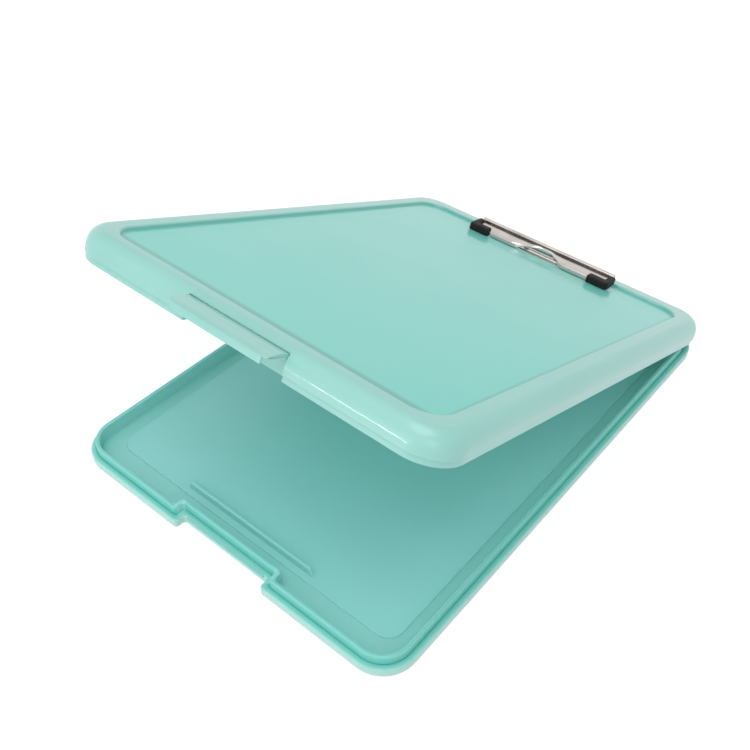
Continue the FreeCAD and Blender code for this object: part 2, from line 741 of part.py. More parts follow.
def clip_base_plate():
    body = new_body("clip_base_plate")
    reach = S.ear_offset + S.base_plate_thickness
    outline = rounded(rectangle(-reach, reach, base_plate_front, base_plate_back), S.base_plate_round)
    sketch = rounded_sketch(body, "base_plate_outline", [outline], recess_level)
    pad(body, "base_plate", sketch, S.base_plate_thickness)
    for name, start in (("left_ear", -reach), ("right_ear", S.ear_offset)):
        ear(body, name, start, S.base_plate_thickness, recess_level)
    spring_windows(body)
    rivet_holes(body, "plate_rivet_holes", recess_level)
    rod_bore(body, "base_rod_bore")
    turn_with_lid(body)
    return body


def ear(body, name, start, thickness, foot):
    """An upright tab with a round top, centred on the rod."""
    reach = S.rod_radius + S.ear_margin
    low = rectangle(pivot_y - reach, pivot_y + reach, foot, pivot_z)
    sketch = outline_sketch(body, f"{name}_foot_outline", "YZ_Plane", [low], start)
    pad(body, f"{name}_foot", sketch, thickness)
    sketch = circle_sketch(body, f"{name}_top_outline", "YZ_Plane", (pivot_y, pivot_z), reach, start)
    top = body.newObject("PartDesign::Pad", f"{name}_top")
    top.Profile = sketch
    top.setExpression("Length", thickness.text)
    doc.recompute()


def spring_windows(body):
    """One opening on each side leaves room for the spring and for the lever's tab as it turns."""
    loops = []
    reach = S.spring_radius + S.spring_wire + S.window_margin
    near = S.spring_offset - S.window_margin
    for left, right in ((near, S.ear_offset), (-S.ear_offset, -near)):
        loops.append(rectangle(left, right, pivot_y - reach, pivot_y + reach))
    sketch = outline_sketch(body, "window_outline", "XY_Plane", loops, recess_level)
    pocket(body, "windows", sketch, S.base_plate_thickness, reverse=True)


def rod_bore(body, name):
    bore = S.rod_radius + S.running_clearance
    sketch = circle_sketch(body, f"{name}_outline", "YZ_Plane", (pivot_y, pivot_z), bore)
    pocket(body, name, sketch, S.clip_width, symmetric=True)


def sheet_profile():
    """The lever from the side: a jaw turned down at the front and a flat that rises to the back."""
    front = clip_front
    inner = front + S.sheet_thickness
    jaw = recess_level + S.jaw_gap
    inner_rise = clip_slope * S.sheet_thickness
    return [
        (front, jaw),
        (inner, jaw),
        (inner, clip_front_top - S.sheet_thickness + inner_rise),
        (clip_back, clip_back_top - S.sheet_thickness),
        (clip_back, clip_back_top),
        (front, clip_front_top),
    ]


def clip_lever():
    body = new_body("clip_lever")
    sketch = outline_sketch(body, "lever_outline", "YZ_Plane", [sheet_profile()])
    pad(body, "lever", sketch, S.clip_width, symmetric=True)
    curl_centre = (clip_back, clip_back_top - S.sheet_thickness + S.curl_radius)
    sketch = circle_sketch(body, "curl_outline", "YZ_Plane", curl_centre, S.curl_radius)
    pad(body, "curl", sketch, S.clip_width, symmetric=True)
    lever_ears(body)
    cutback(body)
    rod_bore(body, "lever_rod_bore")
    turn_with_lid(body)
    return body


def lever_ears(body):
    """Two round-ended tabs turned down from the lever, just inside the ears of the base plate."""
    reach = S.rod_radius + S.ear_margin
    top = clip_front_top + clip_slope * (pivot_y - clip_front) - S.sheet_thickness / 2
    near = S.ear_offset - S.ear_gap - S.sheet_thickness
    profile = rectangle(pivot_y - reach, pivot_y + reach, pivot_z, top)
    for name, start in (("left_tab", -(near + S.sheet_thickness)), ("right_tab", near)):
        sketch = outline_sketch(body, f"{name}_outline", "YZ_Plane", [profile], start)
        pad(body, name, sketch, S.sheet_thickness)
        sketch = circle_sketch(body, f"{name}_end_outline", "YZ_Plane", (pivot_y, pivot_z), reach, start)
        pad(body, f"{name}_end", sketch, S.sheet_thickness)


def cutback(body):
    mouth = S.cutback_mouth / 2
    base = S.cutback_base / 2
    open_side = clip_front - S.sheet_thickness
    rear = clip_front + S.cutback_depth
    shape = [(-mouth, open_side), (mouth, open_side), (base, rear), (-base, rear)]
    sketch = outline_sketch(body, "cutback_outline", "XY_Plane", [shape], recess_level)
    feature = pocket(body, "cutback", sketch, clip_back_top - recess_level + S.sheet_thickness, reverse=True)
    round_edges(body, "cutback_rear", feature, S.cutback_round, upright_at([shape[2], shape[3]]))


def clip_caps(lever):
    """Rubber corners pushed onto the front of the sheet. Each is the outer form less the sheet."""
    caps = []
    for side, suffix in ((-1, "left"), (1, "right")):
        form = cap_form(f"cap_form_{suffix}", side)
        cap = doc.addObject("Part::Cut", f"clip_cap_{suffix}")
        cap.Base = form
        cap.Tool = lever
        cap.Label = f"clip_cap_{suffix}"
        caps.append(cap)
    return caps


def cap_form(label, side):
    body = new_body(label)
    front = clip_front - S.cap_front_overhang
    back = front + S.cap_length
    floor = recess_level + S.cap_base_gap
    low_top = clip_front_top + S.cap_cover - clip_slope * S.cap_front_overhang
    high_top = low_top + clip_slope * S.cap_length
    under = high_top - S.sheet_thickness - S.cap_cover * 2
    profile = [(front, floor), (front + S.cap_front_depth, floor), (back, under), (back, high_top), (front, low_top)]
    outer = S.clip_width / 2 + S.cap_overhang
    start = outer * side if side < 0 else outer - S.cap_arm
    sketch = outline_sketch(body, f"{label}_outline", "YZ_Plane", [profile], start)
    feature = pad(body, f"{label}_block", sketch, S.cap_arm)
    step = round_edges(body, f"{label}_edges", feature, S.cap_round, outside_edge(side, outer, front))
    open_inner = (outer - S.cap_width) * side
    open_far = (outer - S.cap_arm) * side
    left, right = (open_inner, open_far) if side < 0 else (open_far, open_inner)
    gap = rectangle(left, right, front + S.cap_front_depth, back)
    sketch = outline_sketch(body, f"{label}_gap_outline", "XY_Plane", [gap], recess_level)
    pocket(body, f"{label}_gap", sketch, high_top - recess_level, reverse=True)
    turn_with_lid(body)
    return body


def outside_edge(side, outer, front):
    """Picks the edges of a rubber corner that face outwards, at its side and its front."""
    def wanted(edge):
        box = edge.BoundBox
        at_side = box.XLength < TOLERANCE and abs(box.XMin - outer.value * side) < TOLERANCE
        at_front = box.YLength < TOLERANCE and abs(box.YMin - front.value) < TOLERANCE
        low = box.ZMax < recess_level.value + S.cap_base_gap.value + TOLERANCE
        return (at_side or at_front) and not low
    return wanted


# Rivets and washers of the clip

def clip_rivets():
    """Two rivets: a low dome over the base plate and a closed end under the washer."""
    copies = []
    top = recess_level + S.base_plate_thickness
    bottom = plate_underside - S.washer_thickness
    radius = S.rivet_radius
    for index, side in enumerate((-1, 1)):
        body = new_body(f"rivet_{index}")
        profile = rivet_profile(S.rivet_offset * side, top, bottom, radius)
        sketch = outline_sketch(body, f"rivet_outline_{index}", "XZ_Plane", [profile], -rivet_y)
        axis_line(sketch, S.rivet_offset * side, bottom, top)
        turned = body.newObject("PartDesign::Revolution", f"rivet_turn_{index}")
        turned.Profile = sketch
        turned.ReferenceAxis = (sketch, ["Axis0"])
        turned.Angle = 360
        doc.recompute()
        turn_with_lid(body)
        copies.append(body)
    return group("clip_rivets", copies)


def rivet_profile(x, top, bottom, radius):
    """Half of a rivet beside its axis, from the closed end up to the head."""
    rim = S.rivet_head_height / 2
    return [
        (x, bottom - S.rivet_head_height),
        (x + S.rivet_crown_radius, bottom - S.rivet_head_height),
        (x + S.rivet_tail_radius, bottom - rim),
        (x + S.rivet_tail_radius, bottom),
        (x + radius, bottom),
        (x + radius, top),
        (x + S.rivet_head_radius, top),
        (x + S.rivet_head_radius, top + rim),
        (x + S.rivet_crown_radius, top + S.rivet_head_height),
        (x, top + S.rivet_head_height),
    ]


def axis_line(sketch, x, bottom, top):
    line = Part.LineSegment(Vector(x.value, bottom.value, 0), Vector(x.value, top.value, 0))
    index = sketch.addGeometry(line, True)
    pin_point(sketch, index, 1, x, bottom)
    pin_point(sketch, index, 2, x, top)


def rivet_washers():
    copies = []
    for index, side in enumerate((-1, 1)):
        body = new_body(f"washer_{index}")
        centre = (S.rivet_offset * side, rivet_y)
        level = plate_underside - S.washer_thickness
        sketch = circle_sketch(body, f"washer_outline_{index}", "XY_Plane", centre, S.washer_radius, level)
        pad(body, f"washer_disc_{index}", sketch, S.washer_thickness)
        bore = S.rivet_radius + S.hole_clearance
        sketch = circle_sketch(body, f"washer_hole_outline_{index}", "XY_Plane", centre, bore, level)
        pocket(body, f"washer_hole_{index}", sketch, S.washer_thickness, reverse=True)
        turn_with_lid(body)
        copies.append(body)
    return group("rivet_washers", copies)


def group(label, members):
    compound = doc.addObject("Part::Compound", label)
    compound.Links = members
    compound.Label = label
    return compound


# The torsion springs

def coil_point(turn, side):
    """A point on the middle of the coil, and the way of the wire there, after so many turns."""
    angle = 2 * math.pi * turn
    radius = S.spring_radius.value
    x = (S.spring_offset.value + S.spring_pitch.value * turn) * side
    point = Vector(x, pivot_y.value + radius * math.cos(angle), pivot_z.value + radius * math.sin(angle))
    advance = S.spring_pitch.value / (2 * math.pi)
    way = Vector(advance * side, -radius * math.sin(angle), radius * math.cos(angle))
    return point, way.normalize()


def arc_along(start, way, end):
    """The arc that leaves a point along a given way and ends at another point."""
    chord = end - start
    length = chord.Length
    along = Vector(chord).normalize()
    aside = (way - along * way.dot(along)).normalize()
    turn = math.acos(min(1, way.dot(along)))
    middle = (start + end) * (1 / 2) + aside * (length / 2 * math.tan(turn / 2))
    return Part.Arc(start, middle, end).toShape()


def two_arcs(start, way, end, way_out):
    """Two arcs that meet smoothly, between two points with their ways given."""
    span = end - start
    both = way + way_out
    bend = 2 * (1 - way.dot(way_out))
    reach = (-span.dot(both) + math.sqrt(span.dot(both) ** 2 + bend * span.dot(span))) / bend
    meeting = (start + end + (way - way_out) * reach) * (1 / 2)
    at_meeting = (meeting - start - way * reach).normalize()
    return [arc_along(start, way, meeting), arc_along(meeting, at_meeting, end)]


def spring_path(side):
    """The wire's centre line: a leg under the lever, the coils, and a leg over the base plate."""
    lean = S.spring_leave.value / 360
    first = 1 / 4 + lean
    last = S.spring_turns.value + 3 / 4 + lean
    steps = math.ceil((last - first) * 4)
    marks = [first + (last - first) * step / steps for step in range(steps + 1)]
    places = [coil_point(mark, side) for mark in marks]
    edges = []
    for (start, way), (end, way_out) in zip(places, places[1:]):
        edges += two_arcs(start, way, end, way_out)
    leg = S.spring_leg.value
    start, way = places[0]
    end, way_out = places[-1]
    tip = start - way * leg
    lower = Part.LineSegment(tip, start).toShape()
    upper = Part.LineSegment(end, end + way_out * leg).toShape()
    return Part.Wire([lower] + edges + [upper]), tip, way


def clip_spring(label, side):
    path, tip, way = spring_path(side)
    profile = Part.Wire([Part.makeCircle(S.spring_wire.value, tip, way)])
    coil = path.makePipeShell([profile], True, False)
    print(f"{label}: least gap between coils {gap_between_coils(side):.2f} mm")
    spring = doc.addObject("Part::Feature", label)
    spring.Shape = coil
    spring.Label = label
    turn_with_lid(spring)
    return spring


def gap_between_coils(side):
    here = coil_point(1, side)[0]
    around = [here.distanceToPoint(coil_point(3 / 2 + step / 100, side)[0]) for step in range(100)]
    return min(around) - 2 * S.spring_wire.value


def check_and_export(pieces):
    doc.recompute()
    for item in doc.Objects:
        if "Invalid" in item.State or "Error" in item.State:
            raise RuntimeError(f"{item.Name} failed: {item.State}")
    for piece in pieces:
        if piece.Shape.isNull() or not piece.Shape.isValid():
            raise RuntimeError(f"{piece.Label} has no valid shape")
    os.makedirs("parts", exist_ok=True)
    for piece in pieces:
        piece.Shape.exportStep(f"parts/{piece.Label}.step")
        box = piece.Shape.BoundBox
        size = f"{box.XLength:.1f} x {box.YLength:.1f} x {box.ZLength:.1f}"
        print(f"{piece.Label}: {len(piece.Shape.Solids)} solid, {size} mm, {piece.Shape.Volume / 1000:.2f} cm3")


def main():
    pieces = [base_tray(), lid_shell(), latch_flap(), latch_pin(), clip_rod(), clip_base_plate()]
    pieces += hinge_pins()
    lever = clip_lever()
    pieces.append(lever)
    pieces += clip_caps(lever)
    pieces += [clip_rivets(), rivet_washers()]
    pieces += [clip_spring("clip_spring_left", -1), clip_spring("clip_spring_right", 1)]
    check_and_export(pieces)


main()
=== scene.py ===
import math
import bmesh
import bpy
import numpy as np
from mathutils import Matrix


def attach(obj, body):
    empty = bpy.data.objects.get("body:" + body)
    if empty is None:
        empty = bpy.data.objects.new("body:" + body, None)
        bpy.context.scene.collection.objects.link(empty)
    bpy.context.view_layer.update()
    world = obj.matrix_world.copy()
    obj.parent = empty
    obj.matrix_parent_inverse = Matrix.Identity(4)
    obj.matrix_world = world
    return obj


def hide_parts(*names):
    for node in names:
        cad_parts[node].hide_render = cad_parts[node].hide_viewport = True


# Storage clipboard box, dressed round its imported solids. Sizes are in millimetres until a mesh is
# made, and the lid's pieces are drawn on the shut lid and then swung open by openLid.

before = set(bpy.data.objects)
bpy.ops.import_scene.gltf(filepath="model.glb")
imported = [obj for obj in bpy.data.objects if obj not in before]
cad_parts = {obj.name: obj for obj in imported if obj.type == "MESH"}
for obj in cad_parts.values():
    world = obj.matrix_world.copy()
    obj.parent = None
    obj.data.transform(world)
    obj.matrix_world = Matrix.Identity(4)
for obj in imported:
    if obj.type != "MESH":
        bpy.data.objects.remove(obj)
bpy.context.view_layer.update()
print("frame loaded:", len(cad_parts), "solids")


# View: camera, lamps, floor

view = {
    "place": (0.25190, -0.35371, 0.41860),
    "azimuth": 38.537,
    "elevation": 42.543,
    "roll": 1.699,
    "lens": 44.68,
    "sensor": 36,
    "shift": (0.0003, -0.0051),
    "nearest": 0.01,
    "farthest": 20,
}


def makeCamera():
    # back points from the target to the camera, and right and up are turned about it by the roll
    az, el, roll = (math.radians(view[key]) for key in ("azimuth", "elevation", "roll"))
    back = np.array([math.sin(az) * math.cos(el), -math.cos(az) * math.cos(el), math.sin(el)])
    level = np.array([math.cos(az), math.sin(az), 0])
    upright = np.cross(back, level)
    right = level * math.cos(roll) + upright * math.sin(roll)
    up = upright * math.cos(roll) - level * math.sin(roll)
    turn = np.eye(4)
    turn[:3, 0], turn[:3, 1], turn[:3, 2] = right, up, back
    turn[:3, 3] = view["place"]
    data = bpy.data.cameras.new("studioCamera")
    data.sensor_width = view["sensor"]
    data.lens = view["lens"]
    data.shift_x, data.shift_y = view["shift"]
    data.clip_start, data.clip_end = view["nearest"], view["farthest"]
    camera = bpy.data.objects.new("studioCamera", data)
    camera.matrix_world = Matrix(turn.tolist())
    bpy.context.collection.objects.link(camera)
    bpy.context.scene.camera = camera


studio = {
    "worldTone": (0.96, 0.98, 1, 1),
    "worldLight": 0.62,
    "white": (1, 1, 1, 1),
    "lamps": (  # name, place, aim, width and height, watts
        ("overhead", (0.15, -0.35, 1.5), (0, -0.05, 0.05), (1.3, 1.3), 8.5),
        ("leftWindow", (-1.2, -0.9, 0.8), (0, 0, 0.05), (0.9, 0.9), 0.4),
        ("rightFill", (1.1, -1.0, 0.8), (0, 0, 0.05), (0.8, 0.8), 2),
        ("frontFill", (-0.25, -1.6, 0.45), (0, 0, 0.02), (0.8, 0.8), 1.4),
        ("lowStrip", (-0.27, -1.02, 0.145), (0.06, -0.14, 0.14), (0.46, 0.022), 1.3),
    ),
    "floorSize": 6,
    "floorTone": (0.9, 0.9, 0.9, 1),
    "floorGlow": 1.15,
    "floorLift": 0.72,
}


def addNode(tree, kind, at=(0, 0), **values):
    # one node at a place in its tree, with the properties given by name
    node = tree.nodes.new(kind)
    node.location = at
    for key, value in values.items():
        setattr(node, key, value)
    return node


def cameraOrGloss(tree):
    # 1 for rays that show the floor or the backdrop, straight or in a reflection
    path = addNode(tree, "ShaderNodeLightPath", (-700, 200))
    first = addNode(tree, "ShaderNodeMath", (-500, 200), operation="MAXIMUM")
    second = addNode(tree, "ShaderNodeMath", (-320, 200), operation="MAXIMUM")
    tree.links.new(path.outputs["Is Camera Ray"], first.inputs[0])
    tree.links.new(path.outputs["Is Glossy Ray"], first.inputs[1])
    tree.links.new(first.outputs[0], second.inputs[0])
    tree.links.new(path.outputs["Is Transmission Ray"], second.inputs[1])
    return second.outputs[0]


def makeWorld():
    # even light from all round, and plain white where the camera or a reflection sees past the floor
    world = bpy.data.worlds.new("studioWorld")
    world.use_nodes = True
    bpy.context.scene.world = world
    tree = world.node_tree
    tree.nodes.clear()
    out = addNode(tree, "ShaderNodeOutputWorld", (400, 0))
    mix = addNode(tree, "ShaderNodeMixShader", (200, 0))
    lit = addNode(tree, "ShaderNodeBackground", (0, 0))
    shown = addNode(tree, "ShaderNodeBackground", (0, -160))
    lit.inputs["Color"].default_value = studio["worldTone"]
    lit.inputs["Strength"].default_value = studio["worldLight"]
    shown.inputs["Color"].default_value = studio["white"]
    tree.links.new(cameraOrGloss(tree), mix.inputs[0])
    tree.links.new(lit.outputs[0], mix.inputs[1])
    tree.links.new(shown.outputs[0], mix.inputs[2])
    tree.links.new(mix.outputs[0], out.inputs[0])


def makeLamps():
    # each lamp faces its aim: back = place - aim, side = up x back, and its height runs along back x side
    for name, place, aim, size, watts in studio["lamps"]:
        data = bpy.data.lights.new(name, "AREA")
        data.shape, data.energy = "ELLIPSE", watts
        data.size, data.size_y = size
        lamp = bpy.data.objects.new(name, data)
        back = np.array(place, float) - np.array(aim, float)
        back /= np.linalg.norm(back)
        side = np.cross((0, 0, 1), back)
        side /= np.linalg.norm(side)
        way = np.stack([side, np.cross(back, side), back], 1)
        full = np.eye(4)
        full[:3, :3], full[:3, 3] = way, place
        lamp.matrix_world = Matrix(full.tolist())
        bpy.context.collection.objects.link(lamp)


def makeFloor():
    # a pale sheet whose own brightness lifts what the camera sees to near white, shadow kept
    half = studio["floorSize"] / 2
    mesh = bpy.data.meshes.new("studioFloor")
    corners = [(-half, -half, 0), (half, -half, 0), (half, half, 0), (-half, half, 0)]
    mesh.from_pydata(corners, [], [(0, 1, 2, 3)])
    floor = bpy.data.objects.new("studioFloor", mesh)
    bpy.context.collection.objects.link(floor)
    material = bpy.data.materials.new("paleFloor")
    material.use_nodes = True
    tree = material.node_tree
    tree.nodes.clear()
    out = addNode(tree, "ShaderNodeOutputMaterial", (500, 0))
    mix = addNode(tree, "ShaderNodeMixShader", (300, 0))
    matt = addNode(tree, "ShaderNodeBsdfDiffuse", (0, 0))
    glow = addNode(tree, "ShaderNodeEmission", (0, -160))
    share = addNode(tree, "ShaderNodeMath", (-140, 200), operation="MULTIPLY")
    matt.inputs["Color"].default_value = studio["floorTone"]
    glow.inputs["Color"].default_value = studio["white"]
    glow.inputs["Strength"].default_value = studio["floorGlow"]
    share.inputs[1].default_value = studio["floorLift"]
    tree.links.new(cameraOrGloss(tree), share.inputs[0])
    tree.links.new(share.outputs[0], mix.inputs[0])
    tree.links.new(matt.outputs[0], mix.inputs[1])
    tree.links.new(glow.outputs[0], mix.inputs[2])
    tree.links.new(mix.outputs[0], out.inputs[0])
    mesh.materials.append(material)


bpy.context.scene.view_settings.view_transform = "Standard"
makeCamera()
makeWorld()
makeLamps()
makeFloor()
print("camera, lamps and floor ready")


# Finishes: one group of nodes for each effect, placed in every material with its own values

def linear(red, green, blue):
    # screen colour, 0 to 255, to the linear value that a shader takes
    share = np.array([red, green, blue]) / 255
    return tuple(np.where(share <= 0.04045, share / 12.92, ((share + 0.055) / 1.055) ** 2.4)) + (1,)


noiseSpan = (0.3, 0.7)  # where most of a noise texture's values lie
grey = (0.5, 0.5, 0.5, 1)


def newGroup(name, inputs, outputs):
    # an empty group with its sockets, each input with a value of its own until a material sets it
    group = bpy.data.node_groups.new(name, "ShaderNodeTree")
    for label, kind, value in inputs:
        group.interface.new_socket(label, in_out="INPUT", socket_type=kind).default_value = value
    for label, kind in outputs:
        group.interface.new_socket(label, in_out="OUTPUT", socket_type=kind)
    start = addNode(group, "NodeGroupInput", (-900, 0))
    end = addNode(group, "NodeGroupOutput", (700, 0))
    return group, start, end


def noiseOf(group, start, scaleSocket, at, detail=3, stretch=None):
    # noise on Object coordinates, stretched by a Mapping node where the grain runs one way
    noise = addNode(group, "ShaderNodeTexNoise", at)
    noise.inputs["Detail"].default_value = detail
    source = start.outputs["Place"]
    if stretch:
        mapping = addNode(group, "ShaderNodeMapping", (at[0] - 200, at[1]))
        mapping.inputs["Scale"].default_value = stretch
        group.links.new(source, mapping.inputs["Vector"])
        source = mapping.outputs[0]
    group.links.new(source, noise.inputs["Vector"])
    group.links.new(start.outputs[scaleSocket], noise.inputs["Scale"])
    return noise.outputs["Fac"]


def rangeOf(group, value, low, high, at):
    # low + (high - low) * (value - span start) / (span end - span start), over the noise's span
    node = addNode(group, "ShaderNodeMapRange", at, clamp=False)
    node.inputs["From Min"].default_value, node.inputs["From Max"].default_value = noiseSpan
    group.links.new(value, node.inputs["Value"])
    for socket, source in (("To Min", low), ("To Max", high)):
        if isinstance(source, (int, float)):
            node.inputs[socket].default_value = source
        else:
            group.links.new(source, node.inputs[socket])
    return node.outputs[0]


def mixOf(group, share, first, second, at):
    # first * (1 - share) + second * share, share not clamped
    node = addNode(group, "ShaderNodeMix", at, data_type="RGBA", clamp_factor=False)
    group.links.new(share, node.inputs["Factor"])
    group.links.new(first, node.inputs[6])
    group.links.new(second, node.inputs[7])
    return node.outputs[2]


skinOutputs = (("Colour", "NodeSocketColor"), ("Roughness", "NodeSocketFloat"), ("Height", "NodeSocketFloat"))
# the tones of painted light and shade that a mesh may carry, with the socket of its painted share:
# the first is painted shade on the lid and painted fill light on the tray, the second is painted
# shade, the third is painted bounce light from the bright ground
shares = {"Inner shading tone": "Depth", "Shade tone": "Seam", "Bounce light tone": "Outer"}


def mouldedSkin():
    # colour = tone and flow tone mixed by broad noise, then each tone of painted shade and light mixed
    # in by its share; roughness goes from least to most with a second noise, and height is a fine pebble
    inputs = [("Place", "NodeSocketVector", (0, 0, 0)), ("Tone", "NodeSocketColor", grey),
              ("Flow tone", "NodeSocketColor", grey), ("Flow scale", "NodeSocketFloat", 14),
              ("Pebble scale", "NodeSocketFloat", 900), ("Least rough", "NodeSocketFloat", 0.25),
              ("Most rough", "NodeSocketFloat", 0.35)]
    for label, share in shares.items():
        inputs += [(label, "NodeSocketColor", grey), (share, "NodeSocketFloat", 0)]
    group, start, end = newGroup("mouldedSkin", inputs, skinOutputs)
    flow = noiseOf(group, start, "Flow scale", (-500, 300), 4, (1, 0.45, 1.6))
    speckle = noiseOf(group, start, "Pebble scale", (-500, 0), 2)
    sway = noiseOf(group, start, "Flow scale", (-500, -300), 2)
    flowShare = rangeOf(group, flow, 0, 1, (-150, 300))
    colour = mixOf(group, flowShare, start.outputs["Tone"], start.outputs["Flow tone"], (100, 300))
    for step, (label, share) in enumerate(shares.items()):
        at = (300 + 200 * step, 300)
        colour = mixOf(group, start.outputs[share], colour, start.outputs[label], at)
    group.links.new(colour, end.inputs["Colour"])
    rough = rangeOf(group, sway, start.outputs["Least rough"], start.outputs["Most rough"], (-150, -300))
    group.links.new(rough, end.inputs["Roughness"])
    group.links.new(speckle, end.inputs["Height"])
    return group


def drawnMetal():
    # noise drawn out along X gives fine lines, which set height and roughness; colour = tone and
    # dull tone mixed by a broader cloud
    group, start, end = newGroup(
        "drawnMetal",
        (("Place", "NodeSocketVector", (0, 0, 0)), ("Tone", "NodeSocketColor", grey),
         ("Dull tone", "NodeSocketColor", grey), ("Line scale", "NodeSocketFloat", 600),
         ("Least rough", "NodeSocketFloat", 0.15), ("Most rough", "NodeSocketFloat", 0.35)),
        skinOutputs)
    lines = noiseOf(group, start, "Line scale", (-500, 200), 3, (0.03, 1, 1))
    cloud = noiseOf(group, start, "Line scale", (-500, -200), 2, (0.06, 0.06, 0.06))
    dull = rangeOf(group, cloud, 0, 1, (-150, 300))
    colour = mixOf(group, dull, start.outputs["Tone"], start.outputs["Dull tone"], (100, 300))
    group.links.new(colour, end.inputs["Colour"])
    rough = rangeOf(group, lines, start.outputs["Least rough"], start.outputs["Most rough"], (-150, 0))
    group.links.new(rough, end.inputs["Roughness"])
    group.links.new(lines, end.inputs["Height"])
    return group


groups = {"moulded": mouldedSkin(), "metal": drawnMetal()}


def finish(name, groupName, values, shader, bump):
    # the group's colour, roughness and height drive one Principled shader; a share of painted shade
    # and light is linked where the finish has a tone for it
    material = bpy.data.materials.new(name)
    material.use_nodes = True
    tree = material.node_tree
    tree.nodes.clear()
    out = addNode(tree, "ShaderNodeOutputMaterial", (600, 0))
    surface = addNode(tree, "ShaderNodeBsdfPrincipled", (300, 0))
    skin = addNode(tree, "ShaderNodeGroup", (-200, 0), node_tree=groups[groupName])
    place = addNode(tree, "ShaderNodeTexCoord", (-450, 0))
    raised = addNode(tree, "ShaderNodeBump", (60, -200))
    tree.links.new(place.outputs["Object"], skin.inputs["Place"])
    for key, value in values.items():
        skin.inputs[key].default_value = value
    for label, share in shares.items():
        if label in values:
            painted = addNode(tree, "ShaderNodeAttribute", (-450, -250), attribute_name=share.lower())
            tree.links.new(painted.outputs["Fac"], skin.inputs[share])
    for key, value in shader.items():
        surface.inputs[key].default_value = value
    raised.inputs["Strength"].default_value = bump[0]
    raised.inputs["Distance"].default_value = bump[1]
    tree.links.new(skin.outputs["Height"], raised.inputs["Height"])
    tree.links.new(skin.outputs["Colour"], surface.inputs["Base Color"])
    tree.links.new(skin.outputs["Roughness"], surface.inputs["Roughness"])
    tree.links.new(raised.outputs[0], surface.inputs["Normal"])
    tree.links.new(surface.outputs[0], out.inputs[0])
    return material


plastic = {"IOR": 1.49, "Specular IOR Level": 0.4, "Subsurface Weight": 0.12, "Subsurface Scale": 0.004,
           "Subsurface Radius": (0.6, 1, 0.9)}
coated = {**plastic, "Coat Weight": 0.5, "Coat Roughness": 0.09}
finishes = {
    # painted shade in lidPlastic: the first painted tone, darker and more saturated, shades the floor of the
    # writing recess and the hollow; the second, darker still, shades the recess wall and the floor beside it
    "lidPlastic": finish(
        "lidPlastic", "moulded",
        {"Tone": linear(151, 208, 199), "Flow tone": linear(146, 204, 195), "Flow scale": 16,
         "Pebble scale": 700, "Least rough": 0.31, "Most rough": 0.37, "Inner shading tone": linear(116, 208, 196),
         "Shade tone": linear(98, 180, 170)}, coated, (0.12, 0.0002)),
    # painted light and shade in trayPlastic: the first painted tone, a little lighter, is fill light painted
    # over the tray's inside; the second, darker, is painted shade on ledge, crevice and wall; the third,
    # paler, is bounce light from the bright ground painted on the outer wall
    "trayPlastic": finish(
        "trayPlastic", "moulded",
        {"Tone": linear(156, 218, 210), "Flow tone": linear(151, 215, 207), "Flow scale": 14,
         "Pebble scale": 800, "Least rough": 0.32, "Most rough": 0.42, "Inner shading tone": linear(158, 224, 220),
         "Shade tone": linear(102, 198, 186), "Bounce light tone": linear(184, 221, 213)},
        plastic, (0.12, 0.0002)),
    "clipNickel": finish(
        "clipNickel", "metal",
        {"Tone": linear(214, 208, 203), "Dull tone": linear(190, 184, 180), "Line scale": 900,
         "Least rough": 0.12, "Most rough": 0.2}, {"Metallic": 1}, (0.1, 0.00005)),
    "pinSteel": finish(
        "pinSteel", "metal",
        {"Tone": linear(196, 196, 194), "Dull tone": linear(160, 160, 160), "Line scale": 1500,
         "Least rough": 0.31, "Most rough": 0.42}, {"Metallic": 1}, (0.1, 0.00005)),
    "springSteel": finish(
        "springSteel", "metal",
        {"Tone": linear(168, 168, 170), "Dull tone": linear(120, 120, 124), "Line scale": 2200,
         "Least rough": 0.32, "Most rough": 0.46}, {"Metallic": 1}, (0.1, 0.00003)),
    "capRubber": finish(
        "capRubber", "moulded",
        {"Tone": linear(10, 10, 11), "Flow tone": linear(17, 17, 19), "Flow scale": 160, "Pebble scale": 2600,
         "Least rough": 0.5, "Most rough": 0.68}, {"IOR": 1.5, "Specular IOR Level": 0.3}, (0.3, 0.0001)),
}
print("finishes ready:", len(finishes))


# Mesh tools

def ringSurface(rings):
    # rings is stations x points x 3: neighbours are joined by quads, and both ends are closed flat
    stations, points = rings.shape[:2]
    index = np.arange(stations * points).reshape(stations, points)
    following = np.roll(index, -1, 1)
    quads = np.stack([index[:-1], following[:-1], following[1:], index[1:]], -1).reshape(-1, 4)
    return rings.reshape(-1, 3), quads.tolist() + [index[0][::-1].tolist(), index[-1].tolist()]


perMetre = 1000  # millimetres


def paintTones(mesh, tonesOf):
    # writes the shares of the painted shade and light tones at each point, which the material mixes in
    places = np.empty(len(mesh.vertices) * 3)
    mesh.vertices.foreach_get("co", places)
    for share, values in zip(shares.values(), tonesOf(places.reshape(-1, 3) * perMetre)):
        layer = mesh.attributes.new(share.lower(), "FLOAT", "POINT")
        layer.data.foreach_set("value", values.astype(np.float32))


def insetOf(points, half, halfLength, radius):
    # how far inside a rounded rectangle each point lies: radius - distance from the corner's centre
    # in a corner, and the distance from the nearest side elsewhere
    past = np.abs(points[:, :2]) - (half - radius, halfLength - radius)
    return radius - np.hypot(*np.maximum(past, 0).T) - np.minimum(past.max(1), 0)


def between(values, low, high):
    # 0 below low, 1 above high and a straight change from one to the other
    return np.clip((values - low) / (high - low), 0, 1)


weld = {"doubled": 2e-6, "degenerate": 1e-6}  # metres


